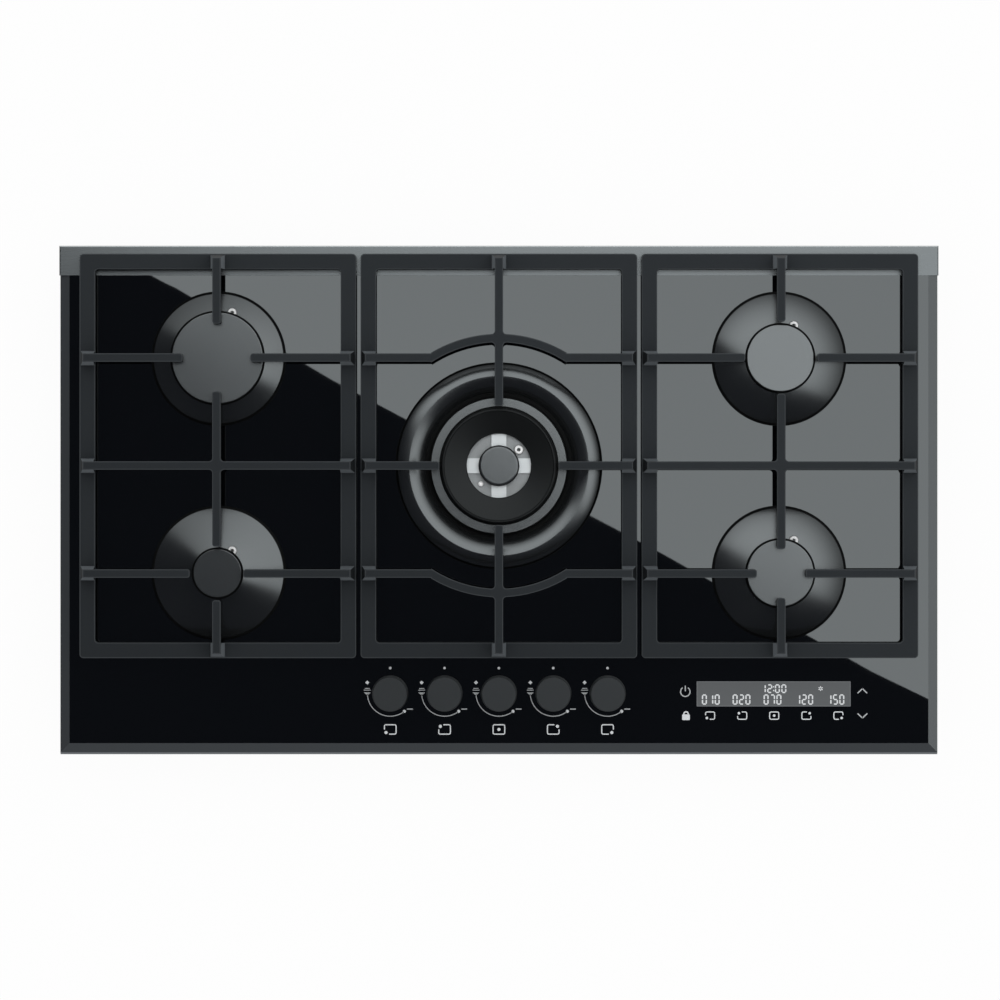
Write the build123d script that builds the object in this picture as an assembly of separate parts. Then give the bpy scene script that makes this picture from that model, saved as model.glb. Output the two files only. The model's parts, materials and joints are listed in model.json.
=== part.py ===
from build123d import *
import os
from math import cos, pi, radians, sin, sqrt

# A built-in gas cooktop: five burners on a black glass plate, three cast pan supports, five taps.
# Millimetres. X to the right, Y to the rear, Z up.
# The origin is the centre of the cut-out, on the worktop's surface.

# ---- overall size and the worktop's cut-out
HOB_W = 890.0            # over the rear trim
HOB_D = 515.0            # trim's back to the glass's front edge
REST_W = 15.0            # plate past the cut-out, each side
REST_D = 17.5            # plate past the cut-out, front and rear
CUTOUT_W = HOB_W - 2 * REST_W
CUTOUT_D = HOB_D - 2 * REST_D
SEAL_W = 9.0
SEAL_T = 1.5
SEAL_CLEAR = 1.0         # seal's inner edge to the cut-out's edge

# ---- glass plate
GLASS_T = 6.0
BEVEL_W = 9.4            # plan width of the polished bevel, left, right and front
BEVEL_DROP = 2.5
ARRIS = 2.0              # ground front edge below the bevel, at 45 degrees
GLASS_Z = SEAL_T + GLASS_T

# ---- rear trim strip
TRIM_D = 30.0
TRIM_T = 1.5
TRIM_END_T = 0.8         # lip that wraps the glass's end
TRIM_LIFT = 0.6          # trim's lower edge above the worktop
TRIM_EDGE_R = 1.2

# ---- layout of the burners and the pan supports
PAN_SIDE = 22.0          # trim's end to the pan supports
PAN_REAR = 9.0           # trim's back to the pan supports
PAN_GAP = 4.5            # between two pan supports
KNOB_ZONE = 98.1         # glass's front edge to the pan supports
REACH_REAR = 105.4       # rear burner row to the frame's rear edge
REACH_FRONT = 85.7       # front burner row to the frame's front edge
PITCH_X = (HOB_W - 2 * PAN_SIDE + PAN_GAP) / 3                              # to the side burners
ROW_Y = (HOB_D - PAN_REAR - KNOB_ZONE - REACH_REAR - REACH_FRONT) / 2       # middle bar to the burner rows
MID_Y = HOB_D / 2 - PAN_REAR - REACH_REAR - ROW_Y                           # middle bar and wok burner

# ---- small burners
SKIRT_R = 67.4
SKIRT_RIM_H = 1.6
SKIRT_BULGE = 2.2
CAST_T = 2.5             # wall of the skirts
SEAT_H = 11.5            # crown's seat above the glass
GASKET_T = 0.8
GASKET_PROUD = 0.8
GASKET_W = 11.0
CAP_RAPID_R = 47.7
CAP_SEMI_R = 35.4
CAP_AUX_R = 26.1
CAP_OVERHANG = 4.5       # cap's edge past the crown's wall
CAP_T = 6.0
CAP_EDGE = 2.6
CAP_SLOPE_W = 8.0        # its top falls a little over this width
CAP_SLOPE_H = 0.3
CAP_RING = 2.0           # centring ring under each cap, wide and high
CAP_HOLLOW = 2.0
SEAT_INSET = 1.0         # skirt's top edge inside the cap's edge
SEAT_W = 3.5             # crown's seat inside the crown's wall
CROWN_H = 10.0
CROWN_WALL = 3.5
CROWN_FLOOR = 2.0
SPIGOT_H = 2.2
LOOSE = 0.3              # play of what lifts out
PORT_W = 2.2
PORT_D = 5.0
PORT_PITCH = 7.4         # along the crown's wall
THROAT_R = 9.0
THROAT_BORE_R = 7.0
THROAT_L = 26.0

# ---- wok burner
DISH_R = 104.0
DISH_RIM_H = 1.4
DISH_CREST_H = 10.5
DISH_CREST_AT = 0.55     # the crest's place between the ridge's inner and outer feet
DISH_VALLEY_H = 3.2
VALLEY_W = 5.6           # from the wok crown's seat to the ridge
VALLEY_BEND = 4.0
WOK_SEAT_H = 9.0
WOK_SEAT_R = 69.8
WOK_BORE_R = 62.5
WOK_FLANGE_R = 68.3
WOK_GROOVE_R = 60.2
WOK_WALL_R = 55.5
WOK_CAP_R = 58.2
WOK_CAP_BORE_R = 32.4
WOK_CAP_T = 5.5
WOK_CAP_DIP = 3.8        # its top falls this much towards the middle
WOK_CAP_EDGE = 1.2
WOK_CAP_RIM = 1.4
WOK_CAP_STEP = 0.6
WOK_FLANGE_T = 3.0
WOK_CHANNEL_T = 2.5
WOK_TOP_H = 17.0         # top of the port walls above the glass
WOK_HUB_R = 17.5
WOK_HUB_CAP_R = 20.6
WOK_HUB_CAP_T = 5.4
WOK_FLOOR_H = 12.5       # bright floor between ring cap and hub
WOK_BRIDGE_W = 15.0
WOK_BRIDGE_H = 2.0

# ---- cups and what they hold, under the glass
HOLE_R = 54.0            # glass hole of a small burner
WOK_HOLE_R = 73.0
CUP_LAP = 7.0            # cup's flange past the glass hole's edge
CUP_T = 2.0
CUP_FLOOR_Z = -26.0
BOSS_R = 8.0
BOSS_Z = -38.0
NIPPLE_R = 5.0
NIPPLE_L = 5.0
GAS_Z = -32.0            # height of the gas tubes' centre lines
GAS_BORE_R = 2.5
INJECTOR_R = 5.0
INJECTOR_HEX_H = 5.0
INJECTOR_STEM_R = 3.5
INJECTOR_SINK = 5.0      # stem in the cup's boss
INJECTOR_SHOULDER = 6.0
INJECTOR_NOSE = 9.0
INJECTOR_TIP_R = 1.4
POST_R = 3.6
POST_SET = 4.5           # post's centre inside the glass hole's edge
POST_ANGLES = (15.0, 135.0, 262.0)
SCREW_R = 1.7
SCREW_HEAD_R = 3.0
SCREW_HEAD_H = 2.0
SCREW_L = 9.0

# ---- igniters and thermocouples
IGNITER_R = 4.3
IGNITER_BORE_R = 1.9
IGNITER_PIN_R = 1.1
IGNITER_SET = 0.6        # axis past the cap's edge
IGNITER_X = 14.2         # to the right of the burner's centre
IGNITER_TOP_H = 15.6     # above the glass
IGNITER_PLAY = 0.5
PROBE_R = 1.9
PROBE_SET = 2.3          # axis past the crown's wall
PROBE_ANGLE = 225.0
PROBE_TOP_H = 15.0
PROBE_TAIL = 12.0
WOK_PROBE_R = 2.6
WOK_SENSOR_R = 25.8
WOK_IGNITER_ANGLE = 39.0

# ---- pan supports
FRAME_W = 15.6
FRAME_LOW = 8.0          # heights above the glass
FRAME_TOP = 20.0
RIB_LOW = 35.0
RIB_TOP = 45.0
RIB_W = 8.4
RIB_EDGE = 0.9
FRAME_CORNER_R = 4.0
CROSS_R = 3.5
TIP_ROUND = 2.6
PAD_FLARE = 3.4          # pad's foot past the rib, each side
END_LEAN = 5.0           # rib's end set in from the frame's edge
END_SET = 1.0            # and the foot of its pad
HAUNCH = 15.0
BOW_RISE = 19.6          # bowed bars round the wok burner
WOK_TIP_R = 59.8
TIP_REAR_LEFT = 34.0     # this finger pair reaches over the rapid burner's cap
TIP_FRONT_RIGHT = 24.6   # and this one over the semi-rapid burner's cap
TIP_CLEAR = 0.8
LEG_R = 7.0
FOOT_R = 5.6
FOOT_T = 3.5
FOOT_STEM_R = 2.4
FOOT_STEM_L = 6.0
FOOT_REAR = 74.0         # rear feet behind the rear burner row
FOOT_FRONT = 66.0        # front feet before the front burner row

# ---- taps and knobs
KNOB_PITCH = 55.0
KNOB_SET = 61.9          # glass's front edge to the knobs
KNOB_R = 17.6
KNOB_BASE_R = 18.4
KNOB_H = 20.0
KNOB_LIFT = 4.5          # knob's underside above the glass
KNOB_WALL = 2.0
KNOB_HUB_R = 6.6
HUB_INSET = 2.0
PUSH = 3.0
SPINDLE_R = 4.0
SPINDLE_FLAT = 1.4
FIT = 0.05
SPINDLE_Z = -20.0
KNOB_HOLE_R = 9.0
GROMMET_R = 11.5
GROMMET_T = 1.2
TAP_W = 26.0
TAP_D = 29.0
TAP_TOP_Z = -10.0
TAP_LOW_Z = -40.0
TAP_CORNER_R = 4.0
TAP_COLLAR_W = 4.0
TAP_COLLAR_H = 2.0
PLUG_TOP_R = 7.4
PLUG_LOW_R = 6.2
PLUG_TOP_Z = -14.0
PLUG_LOW_Z = -36.0
SOCKET_DEPTH = PLUG_TOP_Z - SPINDLE_Z + PUSH + 1
RAIL_SIZE = 16.0
RAIL_Z = -30.0
RAIL_END = 24.0          # rail past the outer taps
BRACKET_W = 16.0
BRACKET_FOOT = 12.0
BRACKET_T = 2.0
SWITCH_SIZE = (14.0, 7.0, 6.0)

# ---- bottom box
BOX_CLEAR = 5.0          # to the cut-out, each side
SHEET = 1.0
BOX_LOW_Z = -46.5
BOX_CORNER_R = 12.0
BOX_LIP = 8.0
NOTCH_W = 95.0
NOTCH_D = 75.0
NOTCH_Z = -18.0
BEAD_R = 3.0
BEAD_L = 300.0
BEAD_PITCH = 120.0
VENT_L = 26.0
VENT_W = 4.0
VENT_PITCH = 12.0
VENTS = 9
CLAMP_X = 600.0          # spacing of the holes for the worktop clamps
CLAMP_SET = 15.0         # holes from the box's front and rear
CLAMP_HOLE_R = 2.1

# ---- gas inlet and mains inlet
INLET_R = 10.48          # half-inch pipe thread, outside
INLET_THREAD_L = 15.0
INLET_LOW_Z = -44.0
ELBOW_SIZE = 20.0
ELBOW_COLLAR_R = 13.5
INLET_BORE_R = 6.48
INLET_NECK_R = 7.48
SUPPLY_R = 6.0
SUPPLY_DROP = 30.0       # run in which the supply pipe goes down to the rail's level
TUBE_R = 4.0
TUBE_BEND_R = 14.0
TUBE_NEAR = 20.0         # taps' nipples to the front burners' cross runs
TUBE_PITCH = 20.0        # from there to the rear burners' cross runs
TUBE_CLEAR = 8.0         # lane beside a front burner's cup
TERMINAL_SIZE = (50.0, 40.0, 25.0)
TERMINAL_WALL = 2.0
TERMINAL_SET = 45.0      # from the box's left side
GLAND_R = 7.0
GLAND_BORE_R = 4.2
GLAND_FLANGE_R = 9.5
GLAND_PROUD = 2.0
GLAND_NOSE = 9.0         # gland's sleeve inside the terminal box

# ---- touch control
TOUCH_W = 198.0
TOUCH_SIDE = 69.0        # from the trim's right end
TOUCH_D = 48.5
TOUCH_H = 17.5
TOUCH_WALL = 2.0
BOARD_T = 1.6
BOARD_POST_R = 3.0
BOARD_POST_SET = 4.0
BOARD_Z = -9.0
DISPLAY_W = 156.0
DISPLAY_D = 25.0
DISPLAY_SIDE = 167.4     # from the trim's right end
DISPLAY_SET = 61.3       # from the glass's front edge

# ---- spark generator
SPARK_SIZE = (72.0, 42.0, 24.0)
SPARK_X = -115.0
SPARK_SET = 39.0         # from the box's rear
SPARK_PLUG_R = 4.0
SPARK_PLUG_L = 7.0

# ---- derived places
BOX_W = CUTOUT_W - 2 * BOX_CLEAR
BOX_D = CUTOUT_D - 2 * BOX_CLEAR
BOX_FLOOR_Z = BOX_LOW_Z + SHEET
GLASS_W = HOB_W - 2 * TRIM_END_T
GLASS_FRONT = -HOB_D / 2
GLASS_REAR = HOB_D / 2 - TRIM_T
SEAT_Z = GLASS_Z + SEAT_H
WOK_SEAT_Z = GLASS_Z + WOK_SEAT_H
PAN_W = PITCH_X - PAN_GAP
BOW_R = ROW_Y + BOW_RISE
KNOB_Y = GLASS_FRONT + KNOB_SET
TAP_REAR_Y = KNOB_Y + TAP_D / 2
RAIL_Y = KNOB_Y - TAP_D / 2 - RAIL_SIZE / 2
TOUCH_FRONT = -BOX_D / 2 + BOX_LIP + 0.5
TOUCH_Y = (TOUCH_FRONT, TOUCH_FRONT + TOUCH_D)
TOUCH_X = (HOB_W / 2 - TOUCH_SIDE - TOUCH_W, HOB_W / 2 - TOUCH_SIDE)
DISPLAY_AT = (HOB_W / 2 - DISPLAY_SIDE, GLASS_FRONT + DISPLAY_SET)
TERMINAL_X = TERMINAL_SET - BOX_W / 2
SPARK_AT = (SPARK_X, BOX_D / 2 - SPARK_SET)
CLAMP_Y = BOX_D - 2 * CLAMP_SET
INLET_X = BOX_W / 2 - NOTCH_W / 2
INLET_Y = BOX_D / 2 - NOTCH_D / 2

BURNERS = {
    "rear_left": (-PITCH_X, MID_Y + ROW_Y, CAP_RAPID_R),
    "rear_right": (PITCH_X, MID_Y + ROW_Y, CAP_SEMI_R),
    "front_left": (-PITCH_X, MID_Y - ROW_Y, CAP_AUX_R),
    "front_right": (PITCH_X, MID_Y - ROW_Y, CAP_SEMI_R),
}
TIPS = {
    "rear_left": TIP_REAR_LEFT,
    "rear_right": CAP_SEMI_R + TIP_CLEAR,
    "front_left": CAP_AUX_R + TIP_CLEAR,
    "front_right": TIP_FRONT_RIGHT,
}
TAPS = ["front_left", "rear_left", "wok", "rear_right", "front_right"]

nodes = {}


# ------------------------------------------------------------------ helpers
def turned_face(face):
    return revolve(Plane.XZ * face, Axis.Z)


def turned_line(line):
    """Solid turned about Z from a closed outline that has arcs."""
    return turned_face(make_face(line))


def turned(*corners):
    """Solid turned about Z from straight corners, each a radius and a height."""
    return turned_line(Polyline(*corners, close=True))


def bulged(start, end, bulge):
    """Arc from start to end that stands out by bulge, to the left of the way back."""
    run, rise = end[0] - start[0], end[1] - start[1]
    length = sqrt(run * run + rise * rise)
    mid = ((start[0] + end[0]) / 2 + bulge * rise / length, (start[1] + end[1]) / 2 - bulge * run / length)
    return ThreePointArc(start, mid, end)


def rod(radius, low, high, x=0.0, y=0.0):
    return Pos(x, y, low) * extrude(Circle(radius), high - low)


def block(x, y, z):
    """Box from pairs of low and high limits."""
    middle = [(low + high) / 2 for low, high in (x, y, z)]
    size = [high - low for low, high in (x, y, z)]
    return Pos(*middle) * Box(*size)


def around(radius, angle):
    return radius * cos(radians(angle)), radius * sin(radians(angle))


def post_places(hole_r):
    """Places of the posts and screws that hold a burner's cup, just inside the glass's hole."""
    return [around(hole_r - POST_SET, angle) for angle in POST_ANGLES]


def tube(points, radius, bend_r):
    """Round rod along straight runs with tangent arcs."""
    path = FilletPolyline(*points, radius=bend_r)
    return sweep(Plane(path @ 0, z_dir=path % 0) * Circle(radius), path)


def crown_radius(cap_r):
    return cap_r - CAP_OVERHANG


def igniter_place(cap_r):
    """Igniter's place from its burner's centre, beside the rear finger and half under the cap's edge."""
    reach = cap_r + IGNITER_SET
    return IGNITER_X, sqrt(reach * reach - IGNITER_X * IGNITER_X)


# ------------------------------------------------------------------ glass, trim, seal
def glass_plate():
    """Front and side profiles, crossed, which mitres the bevels at the corners."""
    shoulder = GLASS_FRONT + ARRIS
    front = Polyline(
        (GLASS_REAR, SEAL_T), (GLASS_REAR, GLASS_Z), (shoulder + BEVEL_W, GLASS_Z),
        (shoulder, GLASS_Z - BEVEL_DROP), (GLASS_FRONT, GLASS_Z - BEVEL_DROP - ARRIS), (GLASS_FRONT, SEAL_T),
        close=True,
    )
    half = GLASS_W / 2
    side = Polyline(
        (-half, SEAL_T), (-half, GLASS_Z - BEVEL_DROP), (BEVEL_W - half, GLASS_Z),
        (half - BEVEL_W, GLASS_Z), (half, GLASS_Z - BEVEL_DROP), (half, SEAL_T),
        close=True,
    )
    along_x = extrude(Plane.YZ * make_face(front), GLASS_W, both=True)
    along_y = extrude(Plane.XZ * make_face(side), HOB_D, both=True)
    plate = along_x & along_y
    for x, y, _ in BURNERS.values():
        plate -= rod(HOLE_R, 0, GLASS_Z + 1, x, y)
    plate -= rod(WOK_HOLE_R, 0, GLASS_Z + 1, 0, MID_Y)
    for x, y in tap_places():
        plate -= rod(KNOB_HOLE_R, 0, GLASS_Z + 1, x, y)
    return plate


def rear_trim():
    rear, front = HOB_D / 2, HOB_D / 2 - TRIM_D
    top = GLASS_Z + TRIM_T
    strip = block((-HOB_W / 2, HOB_W / 2), (front, rear), (TRIM_LIFT, top))
    edges = strip.edges().group_by(Axis.Z)[-1]
    strip = fillet([e for e in edges if e.center().Y > front + 0.1], TRIM_EDGE_R)
    return strip - block((-GLASS_W / 2, GLASS_W / 2), (front - 1, GLASS_REAR), (0, GLASS_Z))


def foam_seal():
    inner_w, inner_d = CUTOUT_W + 2 * SEAL_CLEAR, CUTOUT_D + 2 * SEAL_CLEAR
    ring = Rectangle(inner_w + 2 * SEAL_W, inner_d + 2 * SEAL_W) - Rectangle(inner_w, inner_d)
    return extrude(ring, SEAL_T)


# ------------------------------------------------------------------ burner skirts and gaskets
def skirt(cap_r):
    """Cast ring with a bulged cone, a seat for the crown, and three hollow posts for the cup's screws."""
    crown_r = crown_radius(cap_r)
    seat_r, bore_r = cap_r - SEAT_INSET, crown_r - SEAT_W
    foot = GLASS_Z + GASKET_T
    rim = foot + SKIRT_RIM_H
    under = SEAT_Z - CAST_T
    cone = bulged((SKIRT_R, rim), (seat_r, SEAT_Z), SKIRT_BULGE)
    shell = turned_line(
        Line((SKIRT_R, foot), (SKIRT_R, rim)) + cone
        + Polyline((seat_r, SEAT_Z), (bore_r, SEAT_Z), (bore_r, under), (seat_r - 1, under))
        + bulged((seat_r - 1, under), (SKIRT_R - CAST_T, foot), -SKIRT_BULGE)
        + Line((SKIRT_R - CAST_T, foot), (SKIRT_R, foot))
    )
    room = turned_line(
        Polyline((0, SEAT_Z), (0, SEAL_T), (HOLE_R - LOOSE, SEAL_T), (HOLE_R - LOOSE, foot), (SKIRT_R, foot),
                 (SKIRT_R, rim))
        + cone + Line((seat_r, SEAT_Z), (0, SEAT_Z))
    )
    for x, y in post_places(HOLE_R):
        shell += rod(POST_R, SEAL_T, SEAT_Z, x, y) & room
        shell -= rod(SCREW_R + FIT, SEAL_T, SEAL_T + SCREW_L - 1, x, y)
    x, y = igniter_place(cap_r)
    shell -= rod(IGNITER_R + IGNITER_PLAY, 0, SEAT_Z + 1, x, y)
    x, y = around(crown_r + PROBE_SET, PROBE_ANGLE)
    return shell - rod(PROBE_R + LOOSE, 0, SEAT_Z + 1, x, y)


def wok_dish():
    """Dish with a round ridge, a valley and the wok crown's seat, on three hollow posts."""
    foot = GLASS_Z + GASKET_T
    rim = foot + DISH_RIM_H
    crest, valley = GLASS_Z + DISH_CREST_H, GLASS_Z + DISH_VALLEY_H
    under = WOK_SEAT_Z - CAST_T
    ridge_in = WOK_SEAT_R + VALLEY_W
    crest_r = ridge_in + (DISH_R - ridge_in) * DISH_CREST_AT
    wall_r = WOK_SEAT_R - CAST_T
    section = make_face(
        Line((DISH_R, foot), (DISH_R, rim))
        + TangentArc((crest_r, crest), (DISH_R, rim), tangent=(1, 0))
        + TangentArc((crest_r, crest), (ridge_in, valley), tangent=(-1, 0))
        + Polyline((ridge_in, valley), (WOK_SEAT_R + 0.8, valley), (WOK_SEAT_R, WOK_SEAT_Z),
                   (WOK_BORE_R, WOK_SEAT_Z), (WOK_BORE_R, under), (wall_r, under), (wall_r, foot),
                   (ridge_in + CAST_T, foot))
        + TangentArc((crest_r, crest - CAST_T), (ridge_in + CAST_T, foot), tangent=(-1, 0))
        + TangentArc((crest_r, crest - CAST_T), (DISH_R - CAST_T, foot), tangent=(1, 0))
        + Line((DISH_R - CAST_T, foot), (DISH_R, foot))
    )
    bend = [v for v in section.vertices() if abs(v.X - ridge_in) + abs(v.Y - valley) < 0.01]
    dish = turned_face(fillet(bend, VALLEY_BEND))
    for x, y in post_places(WOK_HOLE_R):
        dish += rod(POST_R - LOOSE, SEAL_T, valley - 0.2, x, y)
        dish -= rod(SCREW_R + FIT, SEAL_T, SEAL_T + SCREW_L - 1, x, y)
    return dish


def gasket(outer_r):
    r = outer_r + GASKET_PROUD
    return Pos(0, 0, GLASS_Z) * extrude(Circle(r) - Circle(r - GASKET_W), GASKET_T)


# ------------------------------------------------------------------ crowns and caps
def ports(wall_r, count, width, depth, top):
    """Flame ports: notches in the wall's top edge, which the cap closes."""
    slot = Pos(wall_r, 0, top - depth / 2) * Box(CROWN_WALL * 2, width, depth)
    return Compound([Rot(0, 0, 360 * i / count) * slot for i in range(count)])


def port_count(wall_r):
    return round(2 * pi * wall_r / PORT_PITCH)


def crown(cap_r):
    r = crown_radius(cap_r)
    wall_in, spigot_r = r - CROWN_WALL, r - SEAT_W - LOOSE
    top, floor = SEAT_Z + CROWN_H, SEAT_Z + CROWN_FLOOR
    body = turned(
        (r, SEAT_Z), (r, top), (wall_in, top), (wall_in, floor), (THROAT_BORE_R, floor),
        (THROAT_BORE_R, SEAT_Z - THROAT_L), (THROAT_R, SEAT_Z - THROAT_L), (THROAT_R, SEAT_Z - SPIGOT_H),
        (spigot_r, SEAT_Z - SPIGOT_H), (spigot_r, SEAT_Z),
    )
    mid_r = r - CROWN_WALL / 2
    return body - ports(mid_r, port_count(mid_r), PORT_W, PORT_D, top)


def cap(cap_r):
    low = SEAT_Z + CROWN_H
    top = low + CAP_T
    ring_r = crown_radius(cap_r) - CROWN_WALL - LOOSE
    ring_in = ring_r - CAP_RING
    edge = (cap_r, top - CAP_EDGE)
    shoulder = (cap_r - CAP_EDGE, top - CAP_SLOPE_H)
    return turned_line(
        Polyline((0, low + CAP_HOLLOW), (0, top), (cap_r - CAP_SLOPE_W, top), shoulder)
        + bulged(edge, shoulder, CAP_EDGE * 0.25)
        + Polyline(edge, (cap_r, low), (ring_r, low), (ring_r, low - CAP_RING),
                   (ring_in, low - CAP_RING), (ring_in, low + CAP_HOLLOW), (0, low + CAP_HOLLOW))
    )


def wok_crown():
    """One casting: seat flange, outer port wall, ring channel, inner port wall, bright floor and hub."""
    top = GLASS_Z + WOK_TOP_H
    floor = GLASS_Z + WOK_FLOOR_H
    low = WOK_SEAT_Z - CAST_T - 1
    channel = low + WOK_CHANNEL_T
    inner_r = WOK_CAP_BORE_R + 0.8
    flange = WOK_SEAT_Z + WOK_FLANGE_T
    body = turned(
        (WOK_FLANGE_R, WOK_SEAT_Z), (WOK_FLANGE_R, flange), (WOK_GROOVE_R, flange),
        (WOK_GROOVE_R, channel), (WOK_WALL_R, channel), (WOK_WALL_R, top), (WOK_WALL_R - CROWN_WALL, top),
        (WOK_WALL_R - CROWN_WALL, channel), (inner_r + CROWN_WALL, channel), (inner_r + CROWN_WALL, top),
        (inner_r, top), (inner_r, floor), (WOK_HUB_R, floor), (WOK_HUB_R, top), (WOK_HUB_R - CROWN_WALL, top),
        (WOK_HUB_R - CROWN_WALL, channel), (THROAT_BORE_R, channel), (THROAT_BORE_R, WOK_SEAT_Z - THROAT_L),
        (THROAT_R, WOK_SEAT_Z - THROAT_L), (THROAT_R, low), (WOK_HUB_R - 1, low), (WOK_HUB_R - 1, floor - 3),
        (inner_r, floor - 3), (inner_r, low), (WOK_BORE_R - LOOSE, low), (WOK_BORE_R - LOOSE, WOK_SEAT_Z),
    )
    ring = rod(inner_r + 1, floor - 1, floor + WOK_BRIDGE_H) - rod(WOK_HUB_R - 1, floor - 2, top)
    half = WOK_BRIDGE_W / 2
    cross = block((-DISH_R, DISH_R), (-half, half), (floor - 1, floor + WOK_BRIDGE_H))
    body += ring & (cross + Rot(0, 0, 90) * cross)
    port_d = top - floor - WOK_BRIDGE_H - 0.4
    for wall_r in (WOK_WALL_R - CROWN_WALL / 2, inner_r + CROWN_WALL / 2, WOK_HUB_R - CROWN_WALL / 2):
        body -= ports(wall_r, port_count(wall_r), PORT_W, port_d, top)
    x, y = around(WOK_SENSOR_R, WOK_IGNITER_ANGLE)
    body -= rod(IGNITER_R + IGNITER_PLAY, low - 1, top, x, y)
    x, y = around(WOK_SENSOR_R, PROBE_ANGLE)
    return body - rod(WOK_PROBE_R + LOOSE, low - 1, top, x, y)


def wok_ring_cap():
    """Ring with a thin raised rim, dished towards the middle."""
    low = GLASS_Z + WOK_TOP_H
    top = low + WOK_CAP_T
    dip = top - WOK_CAP_DIP
    ring_r = WOK_WALL_R - CROWN_WALL - LOOSE
    ring_in = ring_r - CAP_RING
    out_edge, out_top = (WOK_CAP_R, top - WOK_CAP_EDGE - 0.4), (WOK_CAP_R - WOK_CAP_EDGE, top)
    rim_in = (WOK_CAP_R - WOK_CAP_EDGE - WOK_CAP_RIM, top)
    step = (rim_in[0] - WOK_CAP_STEP, top - WOK_CAP_STEP)
    in_top, in_edge = (WOK_CAP_BORE_R + WOK_CAP_EDGE, dip), (WOK_CAP_BORE_R, dip - WOK_CAP_EDGE + 0.3)
    return turned_line(
        Line((WOK_CAP_R, low), out_edge) + bulged(out_edge, out_top, 0.35)
        + Polyline(out_top, rim_in, step, in_top) + bulged(in_top, in_edge, 0.3)
        + Polyline(in_edge, (WOK_CAP_BORE_R, low), (ring_in, low), (ring_in, low - CAP_RING),
                   (ring_r, low - CAP_RING), (ring_r, low), (WOK_CAP_R, low))
    )


def wok_inner_cap():
    low = GLASS_Z + WOK_TOP_H
    top = low + WOK_HUB_CAP_T
    ring_r = WOK_HUB_R - CROWN_WALL - LOOSE
    ring_in = ring_r - CAP_RING
    edge, shoulder = (WOK_HUB_CAP_R, top - CAP_EDGE), (WOK_HUB_CAP_R - CAP_EDGE, top)
    return turned_line(
        Polyline((0, low + CAP_HOLLOW), (0, top), shoulder) + bulged(edge, shoulder, CAP_EDGE * 0.25)
        + Polyline(edge, (WOK_HUB_CAP_R, low), (ring_r, low), (ring_r, low - CAP_RING),
                   (ring_in, low - CAP_RING), (ring_in, low + CAP_HOLLOW), (0, low + CAP_HOLLOW))
    )


# ------------------------------------------------------------------ cups, injectors, screws, sensors
def burner_cup(wall_r, rim_z, hole_r):
    """Mixing cup under the glass, with a flange against the glass and a boss for injector and gas tube."""
    flange_r = hole_r + CUP_LAP
    floor = CUP_FLOOR_Z + CUP_T
    cup = turned(
        (wall_r, rim_z), (wall_r, SEAL_T), (flange_r, SEAL_T), (flange_r, SEAL_T - CUP_T),
        (wall_r, SEAL_T - CUP_T), (wall_r, CUP_FLOOR_Z), (BOSS_R, CUP_FLOOR_Z), (BOSS_R, BOSS_Z),
        (0, BOSS_Z), (0, floor), (wall_r - CUP_T, floor), (wall_r - CUP_T, rim_z),
    )
    nipple_end = -(BOSS_R + NIPPLE_L)
    cup += Pos(0, 0, GAS_Z) * Rot(90, 0, 0) * extrude(Circle(NIPPLE_R), -nipple_end)
    cup -= Pos(0, 0, GAS_Z) * Rot(90, 0, 0) * extrude(Circle(GAS_BORE_R), 1 - nipple_end)
    cup -= rod(INJECTOR_STEM_R + FIT, GAS_Z, floor + 1)
    for x, y in post_places(hole_r):
        cup -= rod(SCREW_R + LOOSE, SEAL_T - CUP_T - 1, SEAL_T + 1, x, y)
    return cup


def small_cup(cap_r):
    cup = burner_cup(crown_radius(cap_r), SEAT_Z - CAST_T, HOLE_R)
    x, y = igniter_place(cap_r)
    cup -= rod(IGNITER_PIN_R + LOOSE, SEAL_T - CUP_T - 1, SEAL_T + 1, x, y)
    x, y = around(crown_radius(cap_r) + PROBE_SET, PROBE_ANGLE)
    return cup - rod(PROBE_R + FIT, SEAL_T - CUP_T - 1, SEAL_T + 1, x, y)


def wok_cup():
    cup = burner_cup(WOK_BORE_R + CUP_T, WOK_SEAT_Z - CAST_T, WOK_HOLE_R)
    x, y = around(WOK_SENSOR_R, WOK_IGNITER_ANGLE)
    cup -= rod(IGNITER_PIN_R + LOOSE, CUP_FLOOR_Z - 1, CUP_FLOOR_Z + CUP_T + 1, x, y)
    x, y = around(WOK_SENSOR_R, PROBE_ANGLE)
    return cup - rod(WOK_PROBE_R + FIT, CUP_FLOOR_Z - 1, CUP_FLOOR_Z + CUP_T + 1, x, y)


def injector():
    """Brass nozzle: stem in the boss, hexagon on the cup's floor, tapered tip."""
    low = CUP_FLOOR_Z + CUP_T
    foot, shoulder, tip = low - INJECTOR_SINK, low + INJECTOR_SHOULDER, low + INJECTOR_NOSE
    hexagon = Pos(0, 0, low) * extrude(RegularPolygon(INJECTOR_R, 6), INJECTOR_HEX_H)
    return hexagon + turned((0, foot), (INJECTOR_STEM_R, foot), (INJECTOR_STEM_R, shoulder),
                            (INJECTOR_TIP_R, tip), (0, tip))


def screws(hole_r):
    """Three screws from below, through the cup's flange into the posts."""
    head = SEAL_T - CUP_T
    one = turned((0, head - SCREW_HEAD_H), (SCREW_HEAD_R, head - SCREW_HEAD_H), (SCREW_HEAD_R, head),
                 (SCREW_R, head), (SCREW_R, head + SCREW_L - 1), (0, head + SCREW_L - 1))
    return [Pos(x, y) * one for x, y in post_places(hole_r)]


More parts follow.
